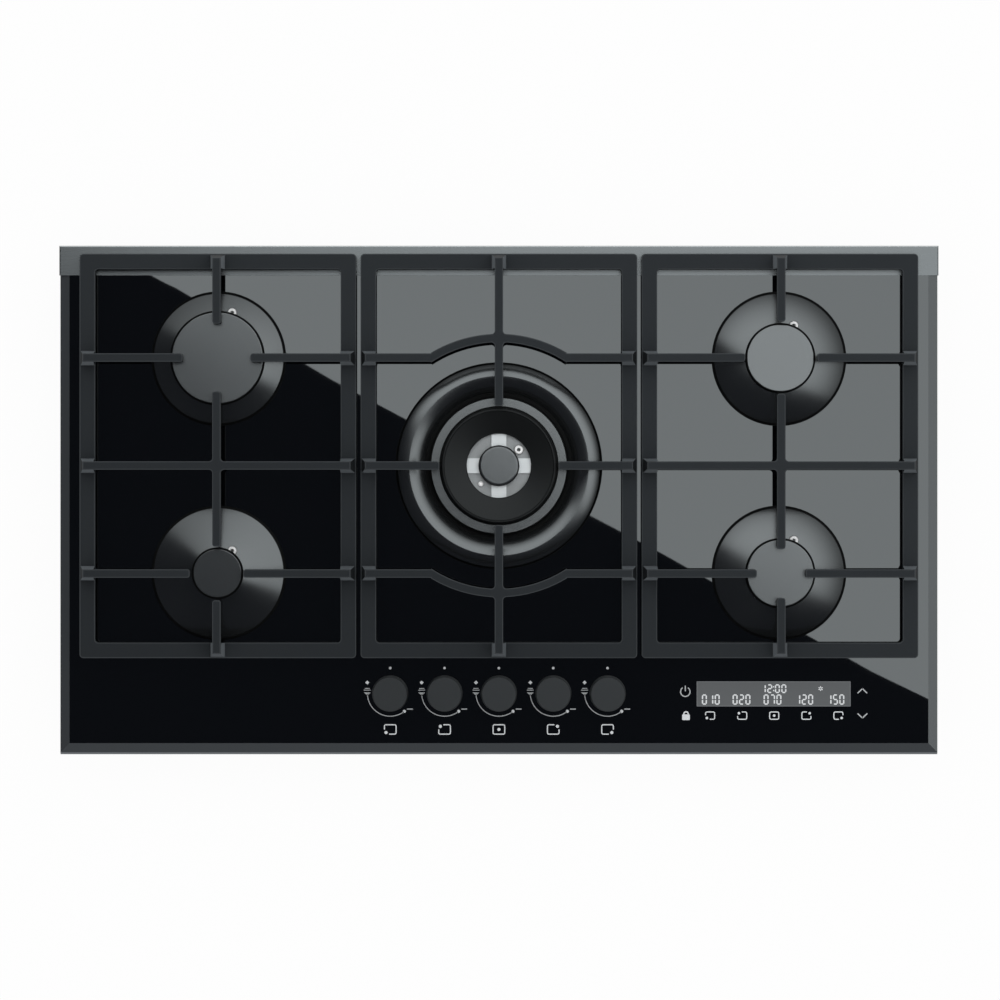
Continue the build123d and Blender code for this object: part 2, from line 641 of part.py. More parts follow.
def igniter(low):
    """White ceramic sleeve with its electrode, seated at height low."""
    top = GLASS_Z + IGNITER_TOP_H
    sleeve = turned((IGNITER_BORE_R, low + 2), (IGNITER_BORE_R, top), (IGNITER_R - 0.6, top),
                    (IGNITER_R, top - 0.6), (IGNITER_R, low), (IGNITER_PIN_R + FIT, low),
                    (IGNITER_PIN_R + FIT, low + 2))
    return [sleeve, rod(IGNITER_PIN_R, low - 8, top - 1.5)]


def probe(radius, low):
    """Thermocouple's rod with a blunt tip."""
    top = GLASS_Z + PROBE_TOP_H
    tail = low - PROBE_TAIL
    return turned((0, tail), (radius, tail), (radius, top - 1), (radius - 1, top), (0, top))


# ------------------------------------------------------------------ pan supports
def strip(x0, y0, x1, y1, width):
    """Flat bar in plan between two points of one line, along X or Y."""
    long_x, long_y = abs(x1 - x0), abs(y1 - y0)
    size = (long_x, width) if long_x > long_y else (width, long_y)
    return Pos((x0 + x1) / 2, (y0 + y1) / 2) * Rectangle(*size)


def rounded(plan, places, radius, reach):
    """Plan with the corners near the given places rounded."""
    def close_to_one(v):
        return any((v.X - x) ** 2 + (v.Y - y) ** 2 < reach ** 2 for x, y in places)

    near = [v for v in plan.vertices() if close_to_one(v)]
    return fillet(near, radius) if near else plan


def pad(x, y, angle):
    """Raised pad where a rib crosses the frame, with the haunch inside it; angle is the way inwards."""
    low, high = GLASS_Z + FRAME_TOP - 1, GLASS_Z + RIB_TOP - RIB_EDGE
    foot, head = RIB_W / 2 + PAD_FLARE, RIB_W / 2 - 0.7
    flank = make_face(Polyline((-foot, low), (foot, low), (head, high), (-head, high), close=True))
    side = make_face(Polyline((END_SET, low), (FRAME_W, low), (FRAME_W, high), (END_LEAN, high), close=True))
    seat = extrude(Plane.YZ * flank, FRAME_W) & extrude(Plane.XZ * side, 2 * foot, both=True)
    under, deck = GLASS_Z + RIB_LOW, GLASS_Z + FRAME_TOP
    start, end = (FRAME_W, deck), (FRAME_W + HAUNCH, under)
    haunch = make_face(
        Polyline(start, (FRAME_W - 2, deck), (FRAME_W - 2, under + 1), (FRAME_W + HAUNCH, under + 1), end)
        + bulged(start, end, -HAUNCH * 0.28)
    )
    web = extrude(Plane.XZ * haunch, RIB_W / 2 - 0.4, both=True)
    return Pos(x, y) * Rot(0, 0, angle) * (seat + web)


def support_frame(width, rear, front):
    """Low outer frame with its four legs, in the support's own plan."""
    mid = (rear + front) / 2
    ring = RectangleRounded(width, rear - front, FRAME_CORNER_R)
    ring -= RectangleRounded(width - 2 * FRAME_W, rear - front - 2 * FRAME_W, CROSS_R)
    frame = Pos(0, mid, GLASS_Z + FRAME_LOW) * extrude(ring, FRAME_TOP - FRAME_LOW)
    frame = chamfer(frame.edges().group_by(Axis.Z)[-1], RIB_EDGE)
    leg_low, leg_high = GLASS_Z + FOOT_T, GLASS_Z + FRAME_LOW + 1
    bore_r = FOOT_STEM_R + FIT
    leg = turned((bore_r, leg_low), (LEG_R - 0.6, leg_low), (LEG_R, leg_high), (bore_r, leg_high))
    for x, y in foot_places():
        frame += Pos(x, y) * leg
        frame -= rod(bore_r, leg_low - 1, leg_low + FOOT_STEM_L + LOOSE, x, y)
    return frame


def foot_places():
    x = (PAN_W - FRAME_W) / 2
    return [(sx * x, y) for sx in (-1, 1) for y in (ROW_Y + FOOT_REAR, -ROW_Y - FOOT_FRONT)]


def rubber_foot():
    """Round pad with a stem that sits in the leg's bore."""
    low, high = GLASS_Z, GLASS_Z + FOOT_T
    wide_r, stem_top = FOOT_R + 0.5, high + FOOT_STEM_L
    return turned((0, low), (FOOT_R, low), (wide_r, low + 0.6), (wide_r, high), (FOOT_STEM_R, high),
                  (FOOT_STEM_R, stem_top), (0, stem_top))


def cast_support(plan, crossings, tips, x_centre):
    """Ribs raised from the plan, set on the frame by pads."""
    half_w, rear, front = PAN_W / 2, ROW_Y + REACH_REAR, -ROW_Y - REACH_FRONT
    plan = rounded(plan, crossings, CROSS_R, RIB_W)
    plan = rounded(plan, tips, TIP_ROUND, RIB_W * 0.6)
    casting = support_frame(PAN_W, rear, front)
    for outline in plan.faces():
        rib = Pos(0, 0, GLASS_Z + RIB_LOW) * extrude(outline, RIB_TOP - RIB_LOW)
        casting += chamfer(rib.edges().group_by(Axis.Z)[-1], RIB_EDGE)
    casting += pad(0, rear, -90) + pad(0, front, 90)
    for y in (ROW_Y, 0, -ROW_Y):
        casting += pad(-half_w, y, 0) + pad(half_w, y, 180)
    return Pos(x_centre, MID_Y) * casting


def side_support(x_centre, tip_rear, tip_front):
    half_w = PAN_W / 2 - END_LEAN
    rear, front = ROW_Y + REACH_REAR - END_LEAN, END_LEAN - ROW_Y - REACH_FRONT
    plan = strip(0, rear, 0, ROW_Y + tip_rear, RIB_W)
    plan += strip(0, ROW_Y - tip_rear, 0, tip_front - ROW_Y, RIB_W)
    plan += strip(0, -ROW_Y - tip_front, 0, front, RIB_W)
    plan += strip(-half_w, 0, half_w, 0, RIB_W)
    tips = []
    for y, tip in ((ROW_Y, tip_rear), (-ROW_Y, tip_front)):
        plan += strip(-half_w, y, -tip, y, RIB_W) + strip(tip, y, half_w, y, RIB_W)
        tips += [(-tip, y), (tip, y), (0, y + tip), (0, y - tip)]
    return cast_support(plan, [(0, 0)], tips, x_centre)


def centre_support():
    """Its rear and front bars bow outwards, concentric with the wok burner."""
    half_w = PAN_W / 2 - END_LEAN
    rear, front = ROW_Y + REACH_REAR - END_LEAN, END_LEAN - ROW_Y - REACH_FRONT
    bow_x = sqrt(BOW_R * BOW_R - ROW_Y * ROW_Y)
    hoop = Circle(BOW_R + RIB_W / 2) - Circle(BOW_R - RIB_W / 2)
    plan = strip(0, rear, 0, WOK_TIP_R, RIB_W) + strip(0, front, 0, -WOK_TIP_R, RIB_W)
    plan += strip(-half_w, 0, -WOK_TIP_R, 0, RIB_W) + strip(WOK_TIP_R, 0, half_w, 0, RIB_W)
    for side in (1, -1):
        window = Pos(0, side * (ROW_Y + BOW_R) / 2) * Rectangle(2 * bow_x, BOW_R - ROW_Y + 3 * RIB_W)
        plan += hoop & window
        plan += strip(-half_w, side * ROW_Y, -bow_x, side * ROW_Y, RIB_W)
        plan += strip(bow_x, side * ROW_Y, half_w, side * ROW_Y, RIB_W)
    tips = [(-WOK_TIP_R, 0), (WOK_TIP_R, 0), (0, WOK_TIP_R), (0, -WOK_TIP_R)]
    return cast_support(plan, [(0, BOW_R), (0, -BOW_R)], tips, 0)


# ------------------------------------------------------------------ taps and knobs
def tap_places():
    middle = (len(TAPS) - 1) / 2
    return [((i - middle) * KNOB_PITCH, KNOB_Y) for i in range(len(TAPS))]


def d_profile(radius):
    """Round spindle section with one flat."""
    return Circle(radius) & Pos(0, -SPINDLE_FLAT) * Rectangle(4 * radius, 2 * radius)


def tap_body():
    """Die-cast block on the rail, with a tapered seat for the plug and an outlet nipple."""
    body = block((-TAP_W / 2, TAP_W / 2), (-TAP_D / 2, TAP_D / 2), (TAP_LOW_Z, TAP_TOP_Z))
    body = fillet(body.edges().filter_by(Axis.Z), TAP_CORNER_R)
    body += rod(SPINDLE_R + TAP_COLLAR_W, TAP_TOP_Z - 1, TAP_TOP_Z + TAP_COLLAR_H)
    outlet = TAP_D / 2 + NIPPLE_L
    body += Pos(0, 0, GAS_Z) * Rot(-90, 0, 0) * extrude(Circle(NIPPLE_R), outlet)
    body -= Pos(0, 0, GAS_Z) * Rot(-90, 0, 0) * extrude(Circle(GAS_BORE_R), outlet + 1)
    seat_low, seat_top = PLUG_LOW_Z - FIT, PLUG_TOP_Z + FIT
    body -= turned((0, seat_low), (PLUG_LOW_R + FIT, seat_low), (PLUG_TOP_R + FIT, seat_top), (0, seat_top))
    return body - rod(SPINDLE_R + FIT, PLUG_TOP_Z, TAP_TOP_Z + TAP_COLLAR_H + 1)


def tap_plug():
    """Tapered plug with a flatted socket for the spindle and a gas port."""
    plug = turned((0, PLUG_LOW_Z), (PLUG_LOW_R, PLUG_LOW_Z), (PLUG_TOP_R, PLUG_TOP_Z), (0, PLUG_TOP_Z))
    plug -= Pos(0, 0, PLUG_TOP_Z - SOCKET_DEPTH) * extrude(d_profile(SPINDLE_R + FIT), SOCKET_DEPTH + 1)
    port = extrude(Circle(GAS_BORE_R / 2), 2 * PLUG_TOP_R, both=True)
    return plug - Pos(0, 0, GAS_Z) * Rot(90, 0, 0) * port


def spindle():
    """Round shaft with a flat at each end, for the knob and for the plug."""
    top = GLASS_Z + KNOB_LIFT + KNOB_H - 4
    flat_low = GLASS_Z + KNOB_LIFT + HUB_INSET
    shaft = rod(SPINDLE_R, SPINDLE_Z, top)
    across, off = (-2 * SPINDLE_R, 2 * SPINDLE_R), (SPINDLE_R - SPINDLE_FLAT, 2 * SPINDLE_R)
    flat = block(across, off, (flat_low, top + 1))
    key = block(across, off, (SPINDLE_Z - 1, PLUG_TOP_Z + PUSH + LOOSE))
    return shaft - flat - key


def knob():
    """Hollow moulded knob with a hub that grips the spindle."""
    low = GLASS_Z + KNOB_LIFT
    top = low + KNOB_H
    shell = turned(
        (KNOB_BASE_R - KNOB_WALL, low), (KNOB_BASE_R, low), (KNOB_R, top - 1.0), (KNOB_R - 0.9, top),
        (0, top), (0, top - KNOB_WALL), (KNOB_R - KNOB_WALL, top - KNOB_WALL),
    )
    hub = rod(KNOB_HUB_R, low + HUB_INSET, top - 1)
    bore = Pos(0, 0, low) * extrude(d_profile(SPINDLE_R + FIT), KNOB_H - 3.8)
    return shell + hub - bore


def knob_grommet():
    """Rubber bush that seals the spindle in the glass."""
    bore, neck = SPINDLE_R + LOOSE, KNOB_HOLE_R - FIT
    return turned((bore, 0), (GROMMET_R, 0), (GROMMET_R, SEAL_T), (neck, SEAL_T), (neck, GLASS_Z),
                  (GROMMET_R, GLASS_Z), (GROMMET_R - 0.8, GLASS_Z + GROMMET_T), (bore, GLASS_Z + GROMMET_T))


def ignition_switch():
    """Micro switch on a tap's head, behind the spindle."""
    wide, deep, high = SWITCH_SIZE
    near, deck = SPINDLE_R + 1.5, TAP_TOP_Z + TAP_COLLAR_H
    case = block((-wide / 2, wide / 2), (near, near + deep), (deck, deck + high))
    return case + block((-wide / 2, wide / 2), (near + deep / 2, TAP_D / 2), (TAP_TOP_Z, deck + 1))


# ------------------------------------------------------------------ gas rail, inlet and tubes
def gas_rail():
    """Square rail along the taps, with the supply pipe that comes from the inlet elbow."""
    half = 2 * KNOB_PITCH + RAIL_END
    side = RAIL_SIZE / 2
    rail = block((-half, half), (RAIL_Y - side, RAIL_Y + side), (RAIL_Z - side, RAIL_Z + side))
    rail = fillet(rail.edges().filter_by(Axis.X), 2)
    elbow_face = INLET_Y - ELBOW_SIZE / 2
    level = NOTCH_Z + SHEET + ELBOW_SIZE / 2
    clear = BOX_D / 2 - NOTCH_D - SHEET - SUPPLY_R - 3
    supply = tube(
        [(INLET_X, elbow_face, level), (INLET_X, clear, level), (INLET_X, clear - SUPPLY_DROP, RAIL_Z),
         (INLET_X, RAIL_Y, RAIL_Z), (half, RAIL_Y, RAIL_Z)],
        SUPPLY_R, TUBE_BEND_R,
    )
    return rail + supply


def inlet_elbow():
    """Half-inch male stub that points down in the box's recess, with its block inside the box."""
    deck = NOTCH_Z + SHEET
    stub = turned(
        (0, INLET_LOW_Z), (INLET_R - 1, INLET_LOW_Z), (INLET_R, INLET_LOW_Z + 1),
        (INLET_R, INLET_LOW_Z + 1 + INLET_THREAD_L), (INLET_R - 1, INLET_LOW_Z + 1 + INLET_THREAD_L),
        (INLET_R - 1, NOTCH_Z - 6), (0, NOTCH_Z - 6),
    )
    nut = Pos(0, 0, NOTCH_Z - 6) * extrude(RegularPolygon(ELBOW_COLLAR_R, 6), 6)
    neck = rod(INLET_NECK_R, NOTCH_Z - 1, deck + 1)
    half = ELBOW_SIZE / 2
    head = block((-half, half), (-half, half), (deck, deck + ELBOW_SIZE - 4))
    head = fillet(head.edges().filter_by(Axis.Z), 3)
    bore = rod(INLET_BORE_R, INLET_LOW_Z - 1, deck + half)
    return Pos(INLET_X, INLET_Y) * (stub + nut + neck + head - bore)


def gas_tube(tap_x, cup_x, cup_y, turn_y, lane_x, rise_y):
    """Tube from a tap's outlet to its burner's cup, in one level."""
    start, end = TAP_REAR_Y + NIPPLE_L, cup_y - BOSS_R - NIPPLE_L
    if cup_x == tap_x:
        return Pos(tap_x, start, GAS_Z) * Rot(-90, 0, 0) * extrude(Circle(TUBE_R), end - start)
    points = [(tap_x, start), (tap_x, turn_y), (lane_x, turn_y)]
    if lane_x != cup_x:
        points += [(lane_x, rise_y), (cup_x, rise_y)]
    points += [(cup_x, end)]
    return tube([(x, y, GAS_Z) for x, y in points], TUBE_R, TUBE_BEND_R)


def gas_tubes():
    """Five tubes in one level: the front burners' run nearest the taps, the rear burners' behind them."""
    near = TAP_REAR_Y + NIPPLE_L + TUBE_NEAR
    far = near + TUBE_PITCH
    lane = PITCH_X - HOLE_R - CUP_LAP - TUBE_CLEAR
    rise = MID_Y + ROW_Y - HOLE_R - CUP_LAP
    tubes = []
    for name, (tap_x, _) in zip(TAPS, tap_places()):
        if name == "wok":
            tubes.append(gas_tube(tap_x, tap_x, MID_Y, 0, 0, 0))
            continue
        x, y, _ = BURNERS[name]
        side = 1 if x > 0 else -1
        if name.startswith("front"):
            tubes.append(gas_tube(tap_x, x, y, near, x, 0))
        else:
            tubes.append(gas_tube(tap_x, x, y, far, side * lane, rise))
    return tubes


def rail_bracket(x):
    """Folded strip from the box's floor to the rail."""
    low, high = BOX_FLOOR_Z, RAIL_Z - RAIL_SIZE / 2
    side, across = RAIL_SIZE / 2, (-BRACKET_W / 2, BRACKET_W / 2)
    leg = block(across, (side - BRACKET_T, side), (low, high))
    foot = block(across, (side - BRACKET_T, side + BRACKET_FOOT), (low, low + BRACKET_T))
    shelf = block(across, (-side, side), (high - BRACKET_T, high))
    return Pos(x, RAIL_Y) * (leg + foot + shelf)


# ------------------------------------------------------------------ bottom box and electrics
def tray(inset, low, high, corner_r):
    """Rounded block of the box's plan, set in by inset, between two heights."""
    plan = RectangleRounded(BOX_W - 2 * inset, BOX_D - 2 * inset, corner_r)
    return Pos(0, 0, low) * extrude(plan, high - low)


def along_x(y, z, radius, length):
    return Pos(0, y, z) * Rot(0, 90, 0) * extrude(Circle(radius), length / 2, both=True)


def bottom_box():
    """Sheet-steel tray, bonded to the glass by its lip, with a recess for the gas inlet."""
    outer = tray(0, BOX_LOW_Z, SEAL_T, BOX_CORNER_R)
    inner = tray(SHEET, BOX_FLOOR_Z, SEAL_T - SHEET, BOX_CORNER_R - SHEET)
    mouth = tray(BOX_LIP, BOX_FLOOR_Z, SEAL_T + SHEET, BOX_CORNER_R)
    notch_x, notch_y = BOX_W / 2 - NOTCH_W, BOX_D / 2 - NOTCH_D
    outer -= block((notch_x, BOX_W), (notch_y, BOX_D), (BOX_LOW_Z - 1, NOTCH_Z))
    hollow = inner + mouth
    hollow -= block((notch_x - SHEET, BOX_W), (notch_y - SHEET, BOX_D), (BOX_LOW_Z - 1, NOTCH_Z + SHEET))
    for y in (-BEAD_PITCH, 0, BEAD_PITCH):
        outer -= along_x(y, BOX_LOW_Z - SHEET / 2, BEAD_R, BEAD_L)
        hollow -= along_x(y, BOX_LOW_Z - SHEET / 2, BEAD_R + SHEET, BEAD_L + 2 * SHEET)
    box = outer - hollow
    slot = extrude(SlotOverall(VENT_L, VENT_W), 3 * SHEET, both=True)
    for side in (-1, 1):
        for i in range(VENTS):
            x = side * (PITCH_X + HOLE_R / 2)
            y = (i - (VENTS - 1) / 2) * VENT_PITCH - BOX_D / 4
            box -= Pos(x, y, BOX_LOW_Z) * slot
    for x in (-CLAMP_X / 2, CLAMP_X / 2):
        for y in (-CLAMP_Y / 2, CLAMP_Y / 2):
            box -= rod(CLAMP_HOLE_R, BOX_LOW_Z - 1, BOX_FLOOR_Z + 1, x, y)
    box -= rod(INLET_NECK_R + FIT, NOTCH_Z - 1, NOTCH_Z + SHEET + 1, INLET_X, INLET_Y)
    gland_hole = extrude(Circle(GLAND_R + FIT), 4 * SHEET, both=True)
    return box - Pos(TERMINAL_X, BOX_D / 2, gland_level()) * Rot(90, 0, 0) * gland_hole


def gland_level():
    return BOX_FLOOR_Z + TERMINAL_SIZE[2] / 2


def terminal_box():
    """Closed box for the mains terminals, with the cable gland through the rear wall."""
    wide, deep, high = TERMINAL_SIZE
    inside = BOX_D / 2 - SHEET
    shell = block((-wide / 2, wide / 2), (inside - deep, inside), (BOX_FLOOR_Z, BOX_FLOOR_Z + high))
    wall = TERMINAL_WALL
    shell -= block((wall - wide / 2, wide / 2 - wall), (inside - deep + wall, inside - wall),
                   (BOX_FLOOR_Z + wall, BOX_FLOOR_Z + high - wall))
    to_rear = Pos(0, inside, gland_level()) * Rot(-90, 0, 0)
    end = SHEET + GLAND_PROUD
    gland = rod(GLAND_R, -GLAND_NOSE, end) + rod(GLAND_FLANGE_R, SHEET, end)
    bore = rod(GLAND_BORE_R, -GLAND_NOSE - 1, end + 1)
    return Pos(TERMINAL_X, 0) * (shell + to_rear * gland - to_rear * bore)


def touch_housing():
    """Open moulding under the glass, with four posts for the board."""
    low = SEAL_T - TOUCH_H
    housing = block(TOUCH_X, TOUCH_Y, (low, SEAL_T))
    inner_x = (TOUCH_X[0] + TOUCH_WALL, TOUCH_X[1] - TOUCH_WALL)
    inner_y = (TOUCH_Y[0] + TOUCH_WALL, TOUCH_Y[1] - TOUCH_WALL)
    housing -= block(inner_x, inner_y, (low + TOUCH_WALL, SEAL_T + 1))
    for x in (inner_x[0] + BOARD_POST_SET, inner_x[1] - BOARD_POST_SET):
        for y in (inner_y[0] + BOARD_POST_SET, inner_y[1] - BOARD_POST_SET):
            housing += rod(BOARD_POST_R, low + TOUCH_WALL - 1, BOARD_Z, x, y)
    return housing


def touch_board():
    play = TOUCH_WALL + 0.5
    return block((TOUCH_X[0] + play, TOUCH_X[1] - play), (TOUCH_Y[0] + play, TOUCH_Y[1] - play),
                 (BOARD_Z, BOARD_Z + BOARD_T))


def display_module():
    x, y = DISPLAY_AT
    return block((x - DISPLAY_W / 2, x + DISPLAY_W / 2), (y - DISPLAY_D / 2, y + DISPLAY_D / 2),
                 (BOARD_Z + BOARD_T, SEAL_T))


def spark_generator():
    """Potted box with five lead sockets on its front side."""
    wide, deep, high = SPARK_SIZE
    case = block((-wide / 2, wide / 2), (-deep / 2, deep / 2), (BOX_FLOOR_Z, BOX_FLOOR_Z + high))
    case = fillet(case.edges().filter_by(Axis.Z), 3)
    pitch = wide / len(TAPS)
    for i in range(len(TAPS)):
        x = (i - (len(TAPS) - 1) / 2) * pitch
        case += Pos(x, -deep / 2, BOX_FLOOR_Z + high / 2) * Rot(90, 0, 0) * rod(SPARK_PLUG_R, 0, SPARK_PLUG_L)
    return Pos(*SPARK_AT) * case


# ------------------------------------------------------------------ the nodes
def add(name, *solids):
    nodes[name] = solids[0] if len(solids) == 1 else Compound(list(solids))


add("glass_plate", glass_plate())
add("rear_trim", rear_trim())
add("foam_seal", foam_seal())
add("bottom_box", bottom_box())

gaskets, cups, jets, cup_screws, igniters, probes = [], [], [], [], [], []
for name, (x, y, cap_r) in BURNERS.items():
    place = Pos(x, y)
    add("skirt_" + name, place * skirt(cap_r))
    add("crown_" + name, place * crown(cap_r))
    add("cap_" + name, place * cap(cap_r))
    gaskets.append(place * gasket(SKIRT_R))
    cups.append(place * small_cup(cap_r))
    jets.append(place * injector())
    cup_screws += [place * screw for screw in screws(HOLE_R)]
    igniters += [place * Pos(*igniter_place(cap_r)) * piece for piece in igniter(SEAL_T)]
    probes.append(place * Pos(*around(crown_radius(cap_r) + PROBE_SET, PROBE_ANGLE)) * probe(PROBE_R, SEAL_T))

centre = Pos(0, MID_Y)
add("wok_dish", centre * wok_dish())
add("wok_crown", centre * wok_crown())
add("wok_ring_cap", centre * wok_ring_cap())
add("wok_inner_cap", centre * wok_inner_cap())
gaskets.append(centre * gasket(DISH_R))
cups.append(centre * wok_cup())
jets.append(centre * injector())
cup_screws += [centre * screw for screw in screws(WOK_HOLE_R)]
cup_deck = CUP_FLOOR_Z + CUP_T
igniters += [centre * Pos(*around(WOK_SENSOR_R, WOK_IGNITER_ANGLE)) * piece for piece in igniter(cup_deck)]
probes.append(centre * Pos(*around(WOK_SENSOR_R, PROBE_ANGLE)) * probe(WOK_PROBE_R, cup_deck))
add("burner_gaskets", *gaskets)
add("burner_cups", *cups)
add("injectors", *jets)
add("cup_screws", *cup_screws)
add("igniters", *igniters)
add("thermocouples", *probes)

add("pan_support_left", side_support(-PITCH_X, TIPS["rear_left"], TIPS["front_left"]))
add("pan_support_centre", centre_support())
add("pan_support_right", side_support(PITCH_X, TIPS["rear_right"], TIPS["front_right"]))
for name, x in (("left", -PITCH_X), ("centre", 0), ("right", PITCH_X)):
    add("pan_feet_" + name, *[Pos(x + fx, MID_Y + fy) * rubber_foot() for fx, fy in foot_places()])

taps, switches, grommets = [], [], []
for name, (x, y) in zip(TAPS, tap_places()):
    place = Pos(x, y)
    taps.append(place * tap_body())
    switches.append(place * ignition_switch())
    grommets.append(place * knob_grommet())
    add("tap_plug_" + name, place * tap_plug())
    add("spindle_" + name, place * spindle())
    add("knob_" + name, place * knob())
add("tap_bodies", *taps)
add("ignition_switches", *switches)
add("knob_grommets", *grommets)

add("gas_rail", gas_rail())
add("gas_inlet_elbow", inlet_elbow())
add("gas_tubes", *gas_tubes())
add("rail_brackets", rail_bracket(-1.5 * KNOB_PITCH), rail_bracket(1.5 * KNOB_PITCH))
add("terminal_box", terminal_box())
add("touch_housing", touch_housing())
add("touch_board", touch_board())
add("display_module", display_module())
add("spark_generator", spark_generator())

os.makedirs("parts", exist_ok=True)
for name, shape in nodes.items():
    export_step(shape, f"parts/{name}.step")
print(len(nodes), "nodes")
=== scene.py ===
import json
from math import atan2, cos, hypot, pi, radians, sin, sqrt

import bpy
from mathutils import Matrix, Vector


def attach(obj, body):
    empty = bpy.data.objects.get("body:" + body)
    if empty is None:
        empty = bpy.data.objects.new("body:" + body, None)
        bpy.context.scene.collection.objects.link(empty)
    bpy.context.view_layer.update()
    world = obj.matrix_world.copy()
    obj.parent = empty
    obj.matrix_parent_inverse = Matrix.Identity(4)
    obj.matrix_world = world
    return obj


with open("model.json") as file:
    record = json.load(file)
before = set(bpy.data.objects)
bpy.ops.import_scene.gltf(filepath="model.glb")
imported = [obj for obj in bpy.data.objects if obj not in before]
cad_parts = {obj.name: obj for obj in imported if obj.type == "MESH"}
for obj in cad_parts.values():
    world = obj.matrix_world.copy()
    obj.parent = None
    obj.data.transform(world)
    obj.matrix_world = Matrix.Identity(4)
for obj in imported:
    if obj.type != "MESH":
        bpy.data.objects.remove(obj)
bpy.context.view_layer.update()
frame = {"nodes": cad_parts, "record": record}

# A built-in gas cooktop seen from straight above. Metres; the CAD model's frame.
MM = 0.001
GLASS_TOP = 7.5 * MM
FRAME_TOP = GLASS_TOP + 20 * MM      # outer frames of the pan supports
FINGER_TOP = GLASS_TOP + 45 * MM
IGNITER_TOP = GLASS_TOP + 15.6 * MM
PRINT_Z = GLASS_TOP + 0.06 * MM      # prints on the glass
FIELD_Z = GLASS_TOP + 0.1 * MM       # display's field, over its rim
INK_Z = GLASS_TOP + 0.14 * MM        # digits, over the field
FLOOR_Z = -46.8 * MM                 # just under the bottom box

PITCH_X = 283.5 * MM                 # wok burner to the side burners
ROW_Y = 108.4 * MM                   # wok burner to the burner rows
MID_Y = 34.7 * MM                    # wok burner
KNOB_PITCH, KNOB_Y = 55.0 * MM, -195.6 * MM

SKIRT_R, SKIRT_RIM = 67.4 * MM, 2 * MM
RAPID_CAP_R, SEMI_RAPID_CAP_R, AUXILIARY_CAP_R = 47.7 * MM, 35.4 * MM, 26.1 * MM
DISH_R, DISH_RIM = 104 * MM, 1.6 * MM
DISH_CREST_R, DISH_SEAT_R = 90.7 * MM, 75.5 * MM
WOK_GROOVE_R, WOK_BARE_R = 60.3 * MM, 45 * MM
WOK_BRIDGE_TOP = GLASS_TOP + 13.4 * MM

CAMERA_HEIGHT = 5.0          # above the glass
SCALE = 1.0125 * MM          # one pixel of the photograph, on the glass
PIXELS = 1000
CENTRE_X = 1.1 * MM          # the picture's middle, on the glass
CENTRE_Y = 0.1 * MM


# ------------------------------------------------------------------ shader maths
class Value:
    """One socket of a node tree. Arithmetic on it adds the Math nodes."""

    def __init__(self, finish, socket):
        self.finish, self.socket = finish, socket

    def math(self, operation, *others):
        values = dict(enumerate((self, *others)))
        return self.finish.node("ShaderNodeMath", {"operation": operation}, values)

    def __add__(self, other):
        return self.math("ADD", other)

    __radd__ = __add__

    def __mul__(self, other):
        return self.math("MULTIPLY", other)

    __rmul__ = __mul__

    def __sub__(self, other):
        return self.math("SUBTRACT", other)

    def __rsub__(self, other):
        return self.finish.node("ShaderNodeMath", {"operation": "SUBTRACT"}, {0: other, 1: self})

    def __truediv__(self, other):
        return self.math("DIVIDE", other)

    def __rtruediv__(self, other):
        return self.finish.node("ShaderNodeMath", {"operation": "DIVIDE"}, {0: other, 1: self})

    def above(self, edge, softness):
        """0 below the edge and 1 above it, over a soft step."""
        ends = {"From Min": edge - softness, "From Max": edge + softness}
        smooth = {"interpolation_type": "SMOOTHSTEP"}
        return self.finish.node("ShaderNodeMapRange", smooth, {"Value": self, **ends})


